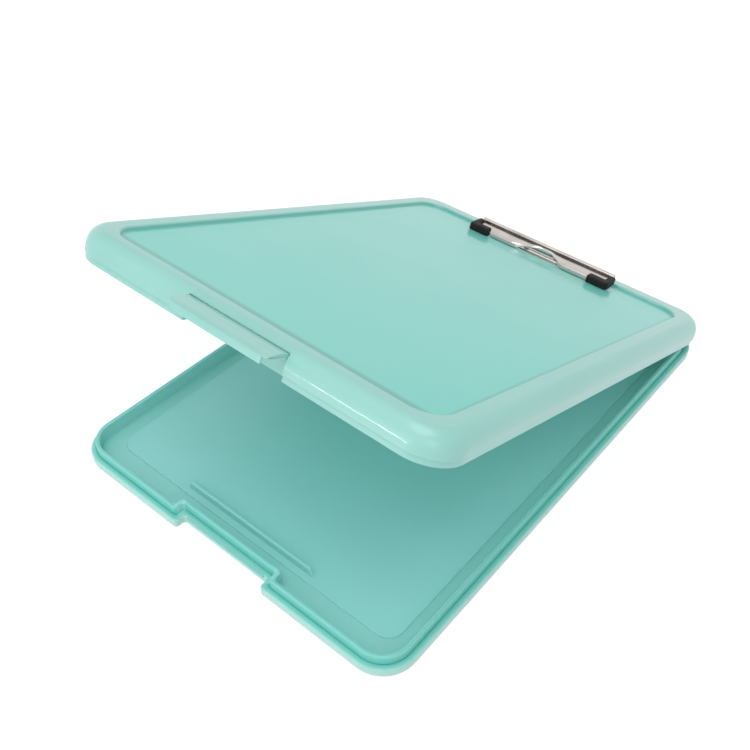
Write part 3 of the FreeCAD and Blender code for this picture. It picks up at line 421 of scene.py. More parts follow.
def makePiece(name, shells, body, finishName, nodes=(), crease=38, tonesOf=None):
    # joins closed shells in one mesh, drops doubled points, turns every face outwards, gives the
    # piece its body and its finish, and hides the solids whose place it takes
    points, faces, base = [], [], 0
    for shellPoints, shellFaces in shells:
        points.append(shellPoints)
        faces += [[corner + base for corner in face] for face in shellFaces]
        base += len(shellPoints)
    mesh = bpy.data.meshes.new(name)
    mesh.from_pydata((np.concatenate(points) / perMetre).tolist(), [], faces)
    work = bmesh.new()
    work.from_mesh(mesh)
    bmesh.ops.remove_doubles(work, verts=work.verts, dist=weld["doubled"])
    bmesh.ops.dissolve_degenerate(work, edges=work.edges, dist=weld["degenerate"])
    bmesh.ops.recalc_face_normals(work, faces=work.faces)
    work.to_mesh(mesh)
    work.free()
    mesh.shade_smooth()
    mesh.set_sharp_from_angle(angle=math.radians(crease))
    mesh.materials.append(finishes[finishName])
    if tonesOf:
        paintTones(mesh, tonesOf)
    piece = bpy.data.objects.new(name, mesh)
    bpy.context.collection.objects.link(piece)
    even = piece.modifiers.new("evenShading", "WEIGHTED_NORMAL")
    even.keep_sharp = True
    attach(piece, body)
    if nodes:
        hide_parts(*nodes)


def cornerLoop(corners, ways, steps, stops):
    # a closed outline with a quarter arc at each corner and chosen stops along each side:
    # arc point = centre - out * r * cos(t) + in * r * sin(t), with t from 0 to a quarter turn
    loop = []
    for i, (x, y, radius) in enumerate(corners):
        wayIn, wayOut = ways[i - 1], ways[i]
        centre = np.array([x, y]) - wayIn * radius + wayOut * radius
        t = np.linspace(0, math.pi / 2, steps[i])[:, None]
        loop.append(centre - wayOut * radius * np.cos(t) + wayIn * radius * np.sin(t))
        nextX, nextY, nextRadius = corners[(i + 1) % len(corners)]
        first = np.array([x, y]) + wayOut * radius
        last = np.array([nextX, nextY]) - wayOut * nextRadius
        kind, values = stops[i]
        if kind == "x":
            line = np.stack([np.array(values), np.full(len(values), first[1])], 1)
        else:
            line = first + (last - first) * np.array(values)[:, None]
        loop.append(line)
    return np.concatenate(loop)


plan = {
    "bigSteps": 24,
    "smallSteps": 7,
    "sideStops": (0.06, 0.2, 0.4, 0.6, 0.8, 0.94),
    "frontStops": (0.1, 0.35, 0.65, 0.9),
    "notchStops": (-29.8, -29.7, -20, -10, 0, 10, 20, 29.7, 29.8),
    "rearStops": (91.7, 91.6, 82, 72.4, 72.3, 61.7, 61.6, 30, 0,
                  -30, -61.6, -61.7, -72.3, -72.4, -82, -91.6, -91.7),
}
noStops = ("share", ())
boxWays = np.array([(1, 0), (0, 1), (1, 0), (0, -1), (1, 0), (0, 1), (-1, 0), (0, -1)], float)
# where the notch's points and the rear's points lie in every loop of tray and lid
notchStart = plan["bigSteps"] + len(plan["frontStops"])
notchPoints = slice(notchStart, notchStart + 4 * plan["smallSteps"] + len(plan["notchStops"]))
rearStart = notchPoints.stop + len(plan["frontStops"]) + len(plan["sideStops"]) + 2 * plan["bigSteps"]
rearPoints = slice(rearStart, rearStart + len(plan["rearStops"]))


def notchedLoop(half, front, back, notchHalf, notchFace, radius, notchRadius):
    # the plan of tray and lid: a rounded rectangle whose front steps in over the middle
    small = min(notchRadius, max(front - notchFace, 0) / 2)
    corners = (
        (-half, -front, radius), (-notchHalf, -front, small), (-notchHalf, -notchFace, small),
        (notchHalf, -notchFace, small), (notchHalf, -front, small), (half, -front, radius),
        (half, back, radius), (-half, back, radius))
    big, few = plan["bigSteps"], plan["smallSteps"]
    sides, fronts = ("share", plan["sideStops"]), ("share", plan["frontStops"])
    stops = (fronts, noStops, ("x", plan["notchStops"]), noStops, fronts, sides,
             ("x", plan["rearStops"]), sides)
    return cornerLoop(corners, boxWays, (big, few, few, few, few, big, big, big), stops)


def level(loop, height):
    # lifts a plan outline to one height, or to a height for each point
    return np.column_stack([loop, np.broadcast_to(height, len(loop))])


def roundOver(inset, height, radius, way, steps=6):
    # insets and heights of a quarter round: "in" turns from upright to flat, by 1 - cos and sin of
    # the turn, and "down" from flat to upright, by sin and 1 - cos
    t = np.linspace(0, math.pi / 2, steps)
    if way == "in":
        return np.stack([inset + radius * (1 - np.cos(t)), height + radius * np.sin(t)], 1)
    return np.stack([inset + radius * np.sin(t), height - radius * (1 - np.cos(t))], 1)


def prismAlongX(outline, start, end, bevel=0.3):
    # an outline in Y and Z carried along X, its ends drawn in a little over the last stretch
    centre = outline.mean(0)
    reach = np.abs(outline - centre).max()
    rings = []
    drawn = 1 - bevel / reach
    for x, share in ((start, drawn), (start + bevel, 1), (end - bevel, 1), (end, drawn)):
        flat = centre + (outline - centre) * share
        rings.append(np.column_stack([np.full(len(flat), x), flat]))
    return ringSurface(np.array(rings))


# Tray

tray = {
    "half": 120, "halfLength": 170, "corner": 21,
    "notchHalf": 32.5, "notchFace": 163.5, "notchRound": 2.2,
    "ledge": 6.5, "ledgeWidth": 3.4, "ledgeRound": 0.8, "footRound": 1.6,
    "underEdge": 3.2, "underMiddle": 13, "creviceSteps": ((0.5, 0), (0.3, 0.05), (0.1, 0.35), (0, 0.35)),
    "wall": 2.4, "wallFoot": 0.15, "wallTop": 12.5, "wallRound": 1,
    "floor": 2, "gutterRound": 0.7, "gutterFlat": 0.4,
    "panelHalf": 105.3, "panelFront": 150, "panelBack": 151.5, "panelCorner": 10, "panelTop": 3,
    "panelRound": 0.5, "panelLap": 0.3, "panelFoot": 0.1, "panelFlat": 1.2, "panelNotchHalf": 38,
    "rearStep": 3.8, "rearFrom": 3, "rearLedge": 3.2, "rearWall": 162.8, "rearSlack": 0.3,
    "catchHalf": 29.7, "catchFace": 165, "catchFoot": 5.4, "catchTop": 6.47, "catchRound": 0.35,
    "catchRoot": 0.55,
    "ribFoot": 48.5, "ribLean": 3, "ribFront": 146, "ribBack": 144, "ribTop": 8, "ribRound": 0.5,
    "ribSunk": 0.3, "ribBase": 0.2, "ribCorner": 0.45, "leastCorner": 0.05,
    "hingeY": 166.8, "hingeZ": 10, "knuckle": 3.2, "knuckles": ((62, 72), (92, 102)), "stemFoot": 2.6,
}


def trayRing(inset, height):
    # the tray's plan drawn in by an inset; the rear wall stands further in, and the ledge is lower there
    rear = inset + (tray["rearStep"] if inset > tray["rearFrom"] else 0)
    loop = notchedLoop(tray["half"] - inset, tray["halfLength"] - inset, tray["halfLength"] - rear,
                       tray["notchHalf"] + inset, tray["notchFace"] - inset, tray["corner"] - inset,
                       tray["notchRound"])
    heights = np.full(len(loop), float(height))
    if inset <= tray["ledgeWidth"] and height <= tray["ledge"]:
        atRear = loop[:, 1] > tray["rearWall"] - tray["rearSlack"]
        heights = np.where(atRear, np.minimum(height, tray["rearLedge"]), heights)
    return level(loop, heights)


def panelRing(inset, height, gutter):
    # same points as the gutter's ring, so that the two can be joined; its front edge runs straight
    loop = notchedLoop(tray["panelHalf"] - inset, tray["panelFront"] - inset, tray["panelBack"] - inset,
                       tray["panelNotchHalf"], tray["panelFront"] - inset, tray["panelCorner"] - inset, 0)
    loop[notchPoints, 0] = gutter[notchPoints, 0]
    return level(loop, height)


def trayShell():
    # rings from the underside round the foot, up to the ledge, over the wall, down to the gutter and
    # in over the panel: each inset and height is one ring
    wallFoot = tray["ledgeWidth"]
    wallIn = wallFoot + tray["wall"]
    rise = tray["wallRound"]
    rings = [trayRing(tray["underMiddle"], 0), trayRing(tray["underEdge"], 0)]
    for inset, height in roundOver(0, 0, tray["footRound"], "in")[::-1]:
        rings.append(trayRing(inset, tray["footRound"] - height))
    ledgeRound = tray["ledgeRound"]
    rings += [trayRing(*step) for step in roundOver(0, tray["ledge"] - ledgeRound, ledgeRound, "in")]
    rings += [trayRing(wallFoot - back, tray["ledge"] - low) for back, low in tray["creviceSteps"]]
    rings.append(trayRing(wallFoot, tray["ledge"] + tray["wallFoot"]))
    rings += [trayRing(*step) for step in roundOver(wallFoot, tray["wallTop"] - rise, rise, "in")]
    rings += [trayRing(*step) for step in roundOver(wallIn - rise, tray["wallTop"], rise, "down")]
    bend = tray["gutterRound"]
    for t in np.linspace(0, math.pi / 2, 5):
        rings.append(trayRing(wallIn + bend * (1 - math.cos(t)), tray["floor"] + bend * (1 - math.sin(t))))
    gutter = trayRing(wallIn + bend + tray["gutterFlat"], tray["floor"])
    steps = [(-tray["panelLap"], tray["floor"]), (0, tray["floor"] + tray["panelFoot"])]
    steps += [*roundOver(0, tray["panelTop"] - tray["panelRound"], tray["panelRound"], "in", 5)]
    steps += [(tray["panelFlat"], tray["panelTop"])]
    rings += [gutter] + [panelRing(inset, height, gutter) for inset, height in steps]
    return ringSurface(np.array(rings))


def trayRib():
    # a thin wall whose ends lean in, lean = full lean * height / full height, and whose crest is rounded
    middle = -(tray["ribFront"] + tray["ribBack"]) / 2
    halfThick = (tray["ribFront"] - tray["ribBack"]) / 2
    rings = []
    crown = tray["ribTop"] - tray["ribRound"]
    steps = [(0, tray["floor"] - tray["ribSunk"]), (0, tray["floor"] + tray["ribBase"]), (0, crown)]
    steps += [tuple(step) for step in roundOver(0, crown, tray["ribRound"], "in")[1:]]
    ways = boxWays[[0, 1, 6, 7]]
    for inset, height in steps:
        lean = tray["ribLean"] * (height - tray["floor"]) / (tray["ribTop"] - tray["floor"])
        long, thick = tray["ribFoot"] - lean - inset, halfThick - inset
        turn = max(tray["ribCorner"] - inset, tray["leastCorner"])
        corners = [(-long, middle - thick, turn), (long, middle - thick, turn),
                   (long, middle + thick, turn), (-long, middle + thick, turn)]
        stop = ("share", (0.02, 0.5, 0.98))
        loop = cornerLoop(corners, ways, (4, 4, 4, 4), (stop, noStops, stop, noStops))
        rings.append(level(loop, height))
    return ringSurface(np.array(rings))


def trayCatch():
    # the bar along the notch, flush with the ledge, with its outer edges rounded
    face, foot, top, turn = -tray["catchFace"], tray["catchFoot"], tray["catchTop"], tray["catchRound"]
    root = -tray["notchFace"] + tray["catchRoot"]
    t = np.linspace(0, math.pi / 2, 5)
    upper = np.stack([face + turn - turn * np.sin(t), top - turn + turn * np.cos(t)], 1)
    lower = np.stack([face + turn - turn * np.cos(t), foot + turn - turn * np.sin(t)], 1)
    outline = np.concatenate([[(root, top)], upper, lower, [(root, foot)]])
    return prismAlongX(outline, -tray["catchHalf"], tray["catchHalf"])


def ringOutline(y, z, radius, first=0, last=360, count=40):
    # y + radius * cos, z + radius * sin, from the first angle to the last
    t = np.radians(np.linspace(first, last, count, endpoint=abs(last - first) < 360))
    return np.stack([y + radius * np.cos(t), z + radius * np.sin(t)], 1)


def trayKnuckles():
    # a round knuckle with a straight stem down to the rear ledge
    y, z, radius = tray["hingeY"], tray["hingeZ"], tray["knuckle"]
    foot = tray["stemFoot"]
    outline = np.concatenate([ringOutline(y, z, radius, -90, 180), [(y - radius, foot), (y, foot)]])
    shells = []
    for start, end in tray["knuckles"]:
        shells += [prismAlongX(outline, start, end), prismAlongX(outline, -end, -start)]
    return shells


# where the tray's painted fill light, painted shade and painted bounce light lie
trayPaint = {
    "notchMargin": 2, "insideMargin": 1.5, "insideFrom": 1, "panelInset": 13, "panelSlack": 0.4,
    "gutterLeast": 0.5, "gutterMore": 0.4, "ledgeRise": (5.4, 6.4), "ledgeInset": (1.2, 3.1),
    "ledgeLeast": 0.1, "ledgeMore": 0.9, "wallFade": 0.5, "wallFrom": 0.1,
    "outerInset": (1.7, 2.4), "outerRise": (5.2, 6.6),
}


def trayTones(points):
    # first share, painted fill light: a tone lighter than the plain one on the panel, less of it in the
    # gutter and on the inside of the wall; second share, painted shade: a darker tone on the ledge,
    # growing towards the wall into the crevice, and on the wall's outer face; third share, painted
    # bounce light: a paler tone on the outside below the ledge, as the bright ground would light it
    paint, height = trayPaint, points[:, 2]
    inset = insetOf(points, tray["half"], tray["halfLength"], tray["corner"])
    inNotch = (np.abs(points[:, 0]) < tray["notchHalf"] + paint["notchMargin"]) & (points[:, 1] < 0)
    inset = np.where(inNotch, np.minimum(inset, points[:, 1] + tray["notchFace"]), inset)
    inside = (inset > tray["ledgeWidth"] + paint["insideMargin"]) & (height > paint["insideFrom"])
    panel = inside & (inset > paint["panelInset"]) & (height > tray["panelTop"] - paint["panelSlack"])
    gutter = paint["gutterLeast"] + paint["gutterMore"] * between(height, tray["panelTop"], tray["wallTop"])
    paintedLight = np.where(panel, 1, np.where(inside, gutter, 0))
    towardsWall = paint["ledgeLeast"] + paint["ledgeMore"] * between(inset, *paint["ledgeInset"])
    ledge = between(height, *paint["ledgeRise"]) * towardsWall
    wall = 1 - paint["wallFade"] * between(height, tray["ledge"], tray["wallTop"])
    paintedShade = np.where(inside, 0, np.where(height > tray["ledge"] + paint["wallFrom"], wall, ledge))
    outer = (1 - between(inset, *paint["outerInset"])) * (1 - between(height, *paint["outerRise"]))
    return paintedLight, paintedShade, outer


makePiece("trayMoulding", [trayShell(), trayRib(), trayCatch()] + trayKnuckles(),
          "tray", "trayPlastic", ("base_tray",), tonesOf=trayTones)
print("tray ready")


# Lid

lid = {
    "angle": 22.44, "half": 120, "halfLength": 169.99, "corner": 21,
    "bottom": 6.8, "top": 23.5, "lip": 10.3, "lipStep": 0.8, "shoulder": 8, "shoulderDrop": 10,
    "skirt": 2.4, "narrow": 6, "shelf": 16.5, "roof": 21.1, "plate": 19.3, "plateMiddle": 8,
    "notchHalf": 32.5, "notchWall": 164.2, "notchRoof": 20.6, "brow": 167.3, "notchRound": 0.7,
    "innerWall": 161.8, "innerRound": 1.6, "roofSlack": 0.01, "turnGap": 0.02,
    "recessHalf": 105, "recessFront": 157.5, "recessBack": 152, "recessCorner": 15, "recessFloor": 21.5,
    # the recess sizes include how far the painted shade stays full over the recess floor along its front
    "recessStops": 0.98, "paintedShadeWidth": 4.5, "recessTop": 1.5, "recessFoot": 0.7, "recessLean": 72,
    "recessLap": 0.15, "flat": 0.8, "floorSteps": (3, 4.5, 6, 7.5),
    "rearEdge": 8, "rearFrom": 163.1, "gapTop": 13.6, "gaps": ((61.65, 72.35), (91.65, 102.4)),
    "knuckle": (72.4, 91.6),
}
# small steps that ease the corners of the hollow and of the lip
lidEase = {"plate": 0.4, "roof": 0.3, "narrow": 0.5, "skirt": 0.3, "foot": 0.2, "lipFoot": 0.25, "lip": 0.12}


def turned(points, axisY, axisZ, degrees):
    # y * cos + z * sin and z * cos - y * sin about an axis along X, which lifts what is in front of it
    turn = math.radians(degrees)
    y, z = points[:, 1] - axisY, points[:, 2] - axisZ
    return np.column_stack([points[:, 0], axisY + y * math.cos(turn) + z * math.sin(turn),
                            axisZ - y * math.sin(turn) + z * math.cos(turn)])


def openLid(points):
    # from the shut lid to the lid as it stands open
    return turned(points, tray["hingeY"], tray["hingeZ"], lid["angle"])


def opened(shell):
    # a shell's points on the open lid, and its faces as they are
    return openLid(shell[0]), shell[1]


def lidRing(inset, height, inner=False, under=False):
    # the front steps back to the notch: to its wall under the roof, and to the brow above it
    front = lid["halfLength"] - inset
    wall = lid["notchWall"] if under or height < lid["notchRoof"] - lid["roofSlack"] else lid["brow"]
    face = min(lid["innerWall"] if inner else wall, front)
    notchHalf = lid["notchHalf"] + (inset if inner else 0)
    loop = notchedLoop(lid["half"] - inset, front, lid["halfLength"] - inset, notchHalf, face,
                       lid["corner"] - inset, lid["innerRound"] if inner else lid["notchRound"])
    heights = np.full(len(loop), float(height))
    rear = loop[:, 1] > lid["rearFrom"]
    heights = np.where(rear, np.maximum(heights, lid["rearEdge"]), heights)
    across = np.abs(lidOutline[:, 0])
    for start, end in lid["gaps"]:
        cut = (lidOutline[:, 1] > lid["rearFrom"]) & (across > start) & (across < end)
        heights = np.where(cut, np.maximum(heights, min(lid["gapTop"], lid["shelf"])), heights)
    return level(loop, heights)


lidOutline = notchedLoop(lid["half"], lid["halfLength"], lid["halfLength"], lid["notchHalf"],
                         lid["notchWall"], lid["corner"], lid["notchRound"])


def recessRing(outset, height):
    # the same points run round the recess; along its front they keep the border's own places
    loop = notchedLoop(lid["recessHalf"] + outset, lid["recessFront"] + outset, lid["recessBack"] + outset,
                       lid["notchHalf"], lid["recessFront"] + outset, lid["recessCorner"] + outset, 0)
    loop[notchPoints, 0] = lidOutline[notchPoints, 0]
    loop[rearPoints, 0] *= lid["recessStops"]
    return level(loop, height)


def lidHollow():
    # the underside: outwards below the plate, up to the roof round it, down the narrow part and the
    # skirt to the lower edge
    skirt, narrow, bottom, ease = lid["skirt"], lid["narrow"], lid["bottom"], lidEase
    under = [(-lid["plateMiddle"], lid["plate"]), (skirt - ease["plate"], lid["plate"]),
             (skirt, lid["plate"] + ease["plate"]), (skirt, lid["roof"] - ease["roof"]),
             (skirt + ease["roof"], lid["roof"])]
    walls = [(narrow + ease["narrow"], lid["roof"]), (narrow, lid["roof"] - ease["narrow"]),
             (narrow, lid["shelf"]), (skirt + ease["skirt"], lid["shelf"]),
             (skirt, lid["shelf"] - ease["skirt"]), (skirt, bottom + ease["foot"]),
             (skirt - ease["foot"], bottom)]
    return [recessRing(*step) for step in under] + [lidRing(*step, inner=True) for step in walls]


def lidLip():
    # the set-in lip round the lower edge, and the start of the skirt above it
    bottom, lip, ease = lid["bottom"], lid["lip"], lidEase
    steps = [(lid["lipStep"] + ease["lipFoot"], bottom), (lid["lipStep"], bottom + ease["lipFoot"]),
             (lid["lipStep"], lip - ease["lip"]), (lid["lipStep"] - ease["lip"], lip),
             (ease["foot"], lip), (0, lip + ease["foot"])]
    return [lidRing(*step) for step in steps]


def lidShoulder():
    # a quarter ellipse: inset = radius * (1 - cos), height = base + drop * sin; where it passes the
    # notch's roof the ring comes twice, first under the brow and then with it
    rings = []
    radius, drop = lid["shoulder"], lid["shoulderDrop"]
    base = lid["top"] - drop
    roofTurn = math.asin((lid["notchRoof"] - base) / drop)
    turns = np.linspace(0, math.pi / 2, 22)
    turns = np.sort(np.append(turns[np.abs(turns - roofTurn) > lid["turnGap"]], roofTurn))
    for turn in turns:
        inset, height = radius * (1 - math.cos(turn)), base + drop * math.sin(turn)
        if turn == roofTurn:
            rings.append(lidRing(inset, height, under=True))
        rings.append(lidRing(inset, height))
    return rings + [lidRing(radius + lid["flat"], lid["top"])]


def lidRecess():
    # over the recess's rounded edge, down its leaning wall and in over its floor
    top, foot, floor, lean = lid["recessTop"], lid["recessFoot"], lid["recessFloor"], lid["recessLean"]
    steps = [(top + lid["flat"], lid["top"])]
    for turn in np.radians(np.linspace(0, lean, 6)):
        steps.append((top * (1 - math.sin(turn)) + lid["recessLap"], lid["top"] - top * (1 - math.cos(turn))))
    for turn in np.radians(np.linspace(lean, 0, 5)):
        steps.append((-foot * (1 - math.sin(turn)), floor + foot * (1 - math.cos(turn))))
    steps += [(-inset, floor) for inset in (foot + lid["flat"],) + lid["floorSteps"]]
    return [recessRing(*step) for step in steps]


def lidShell():
    # from the middle of the underside out, round the lower edge, over the top and in to the recess
    return ringSurface(np.array(lidHollow() + lidLip() + lidShoulder() + lidRecess()))


def lidKnuckles():
    # one round knuckle a side, between two of the tray's
    outline = ringOutline(tray["hingeY"], tray["hingeZ"], tray["knuckle"])
    start, end = lid["knuckle"]
    return [opened(prismAlongX(outline, start, end)), opened(prismAlongX(outline, -end, -start))]


# where the lid's painted shade lies: over the recess, below the top, above the hollow, and its fade from the
# wall
lidPaint = {"reach": 2.4, "fall": (0.15, 1.4), "aboveHollow": 1, "side": 3, "frontFade": 3}


def lidTones(points):
    # first share, painted shade: a darker tone on the floor of the writing recess and inside the hollow;
    # second share, painted shade: a darker tone still on the recess wall, fading over 3 mm of the floor
    # beside it and over more of it along the front
    paint = lidPaint
    shut = turned(points, tray["hingeY"], tray["hingeZ"], -lid["angle"])
    middle = (lid["recessBack"] - lid["recessFront"]) / 2
    halfLength = (lid["recessBack"] + lid["recessFront"]) / 2
    inset = insetOf(shut - (0, middle, 0), lid["recessHalf"], halfLength, lid["recessCorner"])
    fallen = between(lid["top"] - shut[:, 2], *paint["fall"])
    reached = inset > -paint["reach"]
    within = reached & (shut[:, 2] > lid["plate"] + paint["aboveHollow"])
    fromFront = shut[:, 1] + lid["recessFront"]
    front = 1 - between(fromFront, lid["paintedShadeWidth"], lid["paintedShadeWidth"] + paint["frontFade"])
    paintedShade = np.where(within, fallen * np.maximum(1 - between(inset, 0, paint["side"]), front), 0)
    return np.where(reached, fallen, 0), paintedShade


makePiece("lidMoulding", [opened(lidShell())] + lidKnuckles(),
          "lid", "lidPlastic", ("lid_shell",), tonesOf=lidTones)
print("lid ready")


# Latch

latch = {
    "y": -167.8, "z": 18.8, "angle": 97, "half": 32.1, "barrel": 1.5, "thick": 1.8, "end": 4,
    "corner": 1.7, "edge": 0.4, "toeHigh": 6, "toeDeep": 1.25, "crown": 0.4,
    "endEase": 0.25, "endReach": 0.3, "endSteps": (0, 0.12, 0.3, 0.6, 1, 1.5, 2.1, 3),
    "hookHalf": 29, "hookTip": 164, "hookHigh": 1.1, "hookRoot": 0.6, "hookLift": 0.02,
    "hookEdge": 0.35, "hookBlunt": 0.1, "hookBevel": 0.25,
}


def latchSection(x):
    # at one station: outer face with a slight crown, rolled upper edge, back, rounded foot and toe.
    # near an end it is shorter by corner - sqrt(corner ** 2 - past ** 2), which rounds the corner
    barrel, thick, edge = latch["barrel"], latch["thick"], latch["edge"]
    toeHigh, toeDeep, corner = latch["toeHigh"], latch["toeDeep"], latch["corner"]
    past = max(abs(x) - (latch["half"] - corner), 0)
    short = corner - math.sqrt(max(corner ** 2 - past ** 2, 0))
    ease = latch["endEase"] * max(0, 1 - (latch["half"] - abs(x)) / latch["endReach"])
    low = -(latch["z"] - latch["end"] - short)
    outer, inner = -barrel + ease, -barrel + thick - ease
    span = np.linspace(0, 1, 9)
    bulge = latch["crown"] * np.sin(math.pi * span)
    face = np.stack([outer - bulge, low + toeHigh + span * (-low - toeHigh)], 1)
    roll = ringOutline(0, 0, barrel - ease, 180, -80, 22)
    back = np.stack([np.full(9, inner), np.linspace(-barrel, low + edge, 9)], 1)
    t = np.linspace(0, math.pi / 2, 5)
    foot = np.stack([inner - edge + edge * np.cos(t), low + edge - edge * np.sin(t)], 1)
    drop = np.linspace(0, math.pi / 2, 10)[:-1]
    toe = np.stack([outer + toeDeep * (1 - np.sin(drop)), low + toeHigh * (1 - np.cos(drop))], 1)
    section = np.concatenate([face, roll, back, foot, toe]) + (latch["y"], latch["z"])
    return np.column_stack([np.full(len(section), x), section])


def latchShell():
    # sections from end to end, closer together near the ends
    half, near = latch["half"], np.array(latch["endSteps"])
    middle = np.linspace(-half + near[-1], half - near[-1], 15)
    stations = np.unique(np.concatenate([-half + near, middle, half - near]))
    return ringSurface(np.array([latchSection(x) for x in stations]))


def latchHook():
    # a bar on the plate's back, with its tip's edges blunted
    start, tip = latch["y"] - latch["barrel"] + latch["thick"] - latch["hookRoot"], -latch["hookTip"]
    low, high = latch["end"] + latch["hookLift"], latch["end"] + latch["hookHigh"]
    edge, blunt = latch["hookEdge"], latch["hookBlunt"]
    outline = np.array([(start, low), (tip - edge, low), (tip - blunt, low + blunt), (tip, low + edge),
                        (tip, high - edge), (tip - blunt, high - blunt), (tip - edge, high), (start, high)])
    return prismAlongX(outline, -latch["hookHalf"], latch["hookHalf"], latch["hookBevel"])


def swungLatch(shell):
    # swings a shell out about the latch's pin, and then up with the lid
    swung = turned(shell[0], latch["y"], latch["z"], latch["angle"])
    return openLid(swung), shell[1]


makePiece("latchPlate", [swungLatch(latchShell()), swungLatch(latchHook())],
          "latch", "lidPlastic", ("latch_flap",))
print("latch ready")


# Paper clip

clip = {
    "half": 55, "front": 135.4, "rear": 149, "rearStop": 0.2, "frontTop": 25.3, "rise": 2.4,
    "slopeFrom": 134.5, "sheet": 0.85, "jaw": 22, "fold": 0.9, "foldTurns": (20, 45, 70),
    "roll": 1.6, "rollHalf": 54.6, "rollStart": -100, "rollEnd": 176,
    "mouth": 22, "fine": 26, "base": 2, "cutback": 11.3, "cutLip": 0.5, "cutSink": 2,
    "tabHalf": 1.8, "tabAt": 38.5, "tabTop": 26.4, "tabBevel": 0.15, "rodY": 143.5, "rodZ": 23.7,
    "capOuter": 57, "capArm": 16, "capWide": 4.6, "capFront": 132.4, "capDeep": 6, "capBack": 147,
    "capFloor": 21.8, "capCover": 1.7, "capUnder": 24.8, "capRound": 1.1,
    "capBend": 1.3, "capOuterBend": 0.8, "capInnerBend": 0.6, "capBendFall": 0.6, "capFootShare": 0.5,
}


def sheetTop(y):
    # front height + rise * share of the way back
    return clip["frontTop"] + clip["rise"] * (y - clip["slopeFrom"]) / (clip["rear"] - clip["slopeFrom"])


def thickened(across, line):
    # gives a middle line in Y and Z the sheet's thickness along its own normals, at each station
    along = np.gradient(line, axis=1)
    along /= np.linalg.norm(along, axis=2, keepdims=True)
    normal = np.stack([-along[..., 1], along[..., 0]], -1) * clip["sheet"] / 2
    section = np.concatenate([line + normal, (line - normal)[:, ::-1]], 1)
    x = np.broadcast_to(across[:, None, None], section.shape[:2] + (1,))
    return ringSurface(np.concatenate([x, section], 2))


def clipRoll():
    # the rear edge curls up and over, and stops short of the sheet, which leaves a dark slit
    across = np.linspace(-clip["rollHalf"], clip["rollHalf"], 9)
    middle = clip["roll"] - clip["sheet"] / 2
    centreZ = sheetTop(clip["rear"]) - clip["sheet"] + clip["roll"]
    turns = np.radians(np.linspace(clip["rollStart"], clip["rollEnd"], 30))
    arc = np.stack([clip["rear"] + middle * np.cos(turns), centreZ + middle * np.sin(turns)], 1)
    return thickened(across, np.broadcast_to(arc, (len(across),) + arc.shape).copy())


def clipSheet():
    # front lip to rear edge at each station across; the front line swings back over the middle
    # in a smooth S, swing = u * u * (3 - 2 * u)
    half, fine = clip["half"], clip["fine"]
    across = np.unique(np.concatenate([np.linspace(-half, -fine, 9), np.linspace(-fine, fine, 79),
                                       np.linspace(fine, half, 9)]))
    swing = np.clip((clip["mouth"] - np.abs(across)) / (clip["mouth"] - clip["base"]), 0, 1)
    swing = swing * swing * (3 - 2 * swing)
    front = clip["front"] + clip["cutback"] * swing
    halfSheet = clip["sheet"] / 2
    fold = clip["fold"]
    top = sheetTop(front) - halfSheet
    raised = top - fold - clip["cutLip"] - clip["cutSink"] * (1 - swing) ** 2
    lipFoot = np.where(swing > 0, np.maximum(clip["jaw"], raised), clip["jaw"])
    middle = front + halfSheet
    parts = [(middle, lipFoot + (top - fold - lipFoot) * share) for share in (0, 0.5, 1)]
    for turn in np.radians(clip["foldTurns"]):
        parts.append((middle + fold * (1 - math.cos(turn)), top - fold + fold * math.sin(turn)))
    start, end = middle + fold, clip["rear"] - clip["rearStop"]
    for share in np.linspace(0, 1, 9):
        y = start + (end - start) * share
        parts.append((y, sheetTop(y) - halfSheet))
    return thickened(across, np.stack([np.stack(part, 1) for part in parts], 1))


def clipTab(start):
    # an ear, round below the rod and straight up to the sheet
    y, z, half, top = clip["rodY"], clip["rodZ"], clip["tabHalf"], clip["tabTop"]
    outline = np.concatenate([ringOutline(y, z, half, -180, 0, 22), [(y + half, top), (y - half, top)]])
    return prismAlongX(outline, start, start + clip["sheet"], clip["tabBevel"])


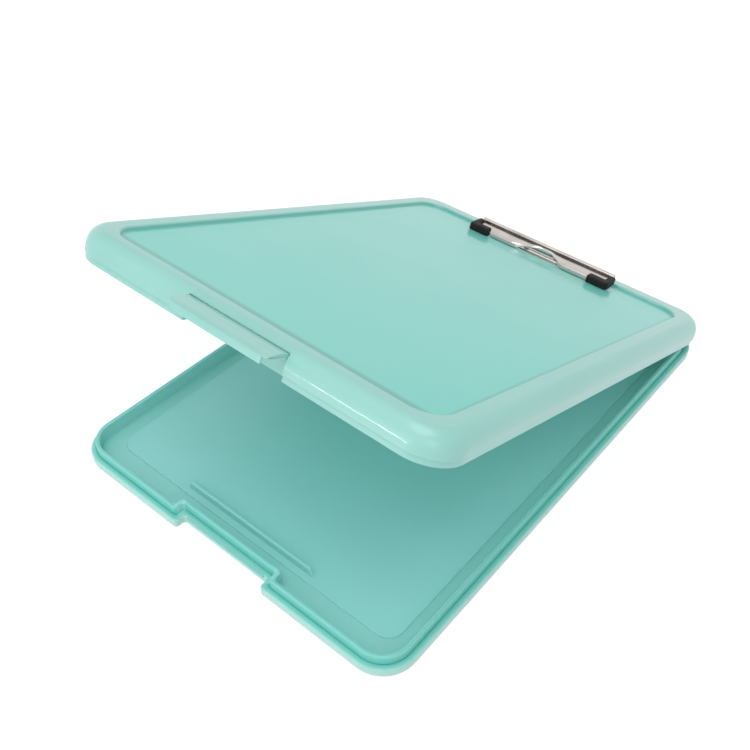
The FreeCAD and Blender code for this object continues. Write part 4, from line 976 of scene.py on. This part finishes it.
def clipCap(side):
    # an L in plan: its outline shrinks towards top and foot to round the edges, the top follows
    # the sheet's slope, and the foot of the side arm rises towards the back
    outer, inner = clip["capOuter"], clip["capOuter"] - clip["capArm"]
    arm, front = clip["capOuter"] - clip["capWide"], clip["capFront"]
    ways = np.array([(1, 0), (0, 1), (-1, 0), (0, -1), (-1, 0), (0, -1)], float)
    turn = np.linspace(0, math.pi / 2, 6)
    rounded = clip["capRound"]
    lower = clip["capFootShare"] * rounded
    steps = [(lower * (1 - math.sin(t)), 0, lower * (1 - math.cos(t))) for t in turn]
    steps += [(rounded * (1 - math.cos(t)), 1, -rounded * (1 - math.sin(t))) for t in turn]
    rings = []
    for inset, upper, shift in steps:
        e, bend = inset, clip["capBend"] - inset * clip["capBendFall"]
        back, deep = clip["capBack"] - e, front + clip["capDeep"] - e
        corners = [(inner + e, front + e, bend), (outer - e, front + e, bend + clip["capOuterBend"]),
                   (outer - e, back, bend), (arm + e, back, bend), (arm + e, deep, clip["capInnerBend"]),
                   (inner + e, deep, bend)]
        stop = ("share", (0.3, 0.7))
        loop = cornerLoop(corners, ways, (6, 8, 6, 6, 4, 6), (stop,) * 6)
        rise = between(loop[:, 1], front + clip["capDeep"], clip["capBack"])
        foot = clip["capFloor"] + (clip["capUnder"] - clip["capFloor"]) * rise
        crest = sheetTop(loop[:, 1]) + clip["capCover"]
        rings.append(level(loop, (crest if upper else foot) + shift))
    points, faces = ringSurface(np.array(rings))
    return openLid(points * (side, 1, 1)), faces


makePiece("clipSheet", [opened(clipSheet()), opened(clipRoll()), opened(clipTab(clip["tabAt"])),
                        opened(clipTab(-clip["tabAt"] - clip["sheet"]))],
          "clip", "clipNickel", ("clip_lever",), crease=50)
makePiece("clipCornerLeft", [clipCap(-1)], "clip", "capRubber", ("clip_cap_left",))
makePiece("clipCornerRight", [clipCap(1)], "clip", "capRubber", ("clip_cap_right",))
print("paper clip ready")


# Small steel pieces keep their solids and take a finish of their own

solidFinish = {
    "latch_pin": "pinSteel", "hinge_pin_left": "pinSteel", "hinge_pin_right": "pinSteel",
    "clip_rod": "pinSteel", "clip_rivets": "pinSteel", "rivet_washers": "pinSteel",
    "clip_base_plate": "clipNickel", "clip_spring_left": "springSteel", "clip_spring_right": "springSteel",
}
for node, finishName in solidFinish.items():
    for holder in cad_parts[node].material_slots:
        holder.material = finishes[finishName]
print("steel pieces ready:", len(solidFinish))
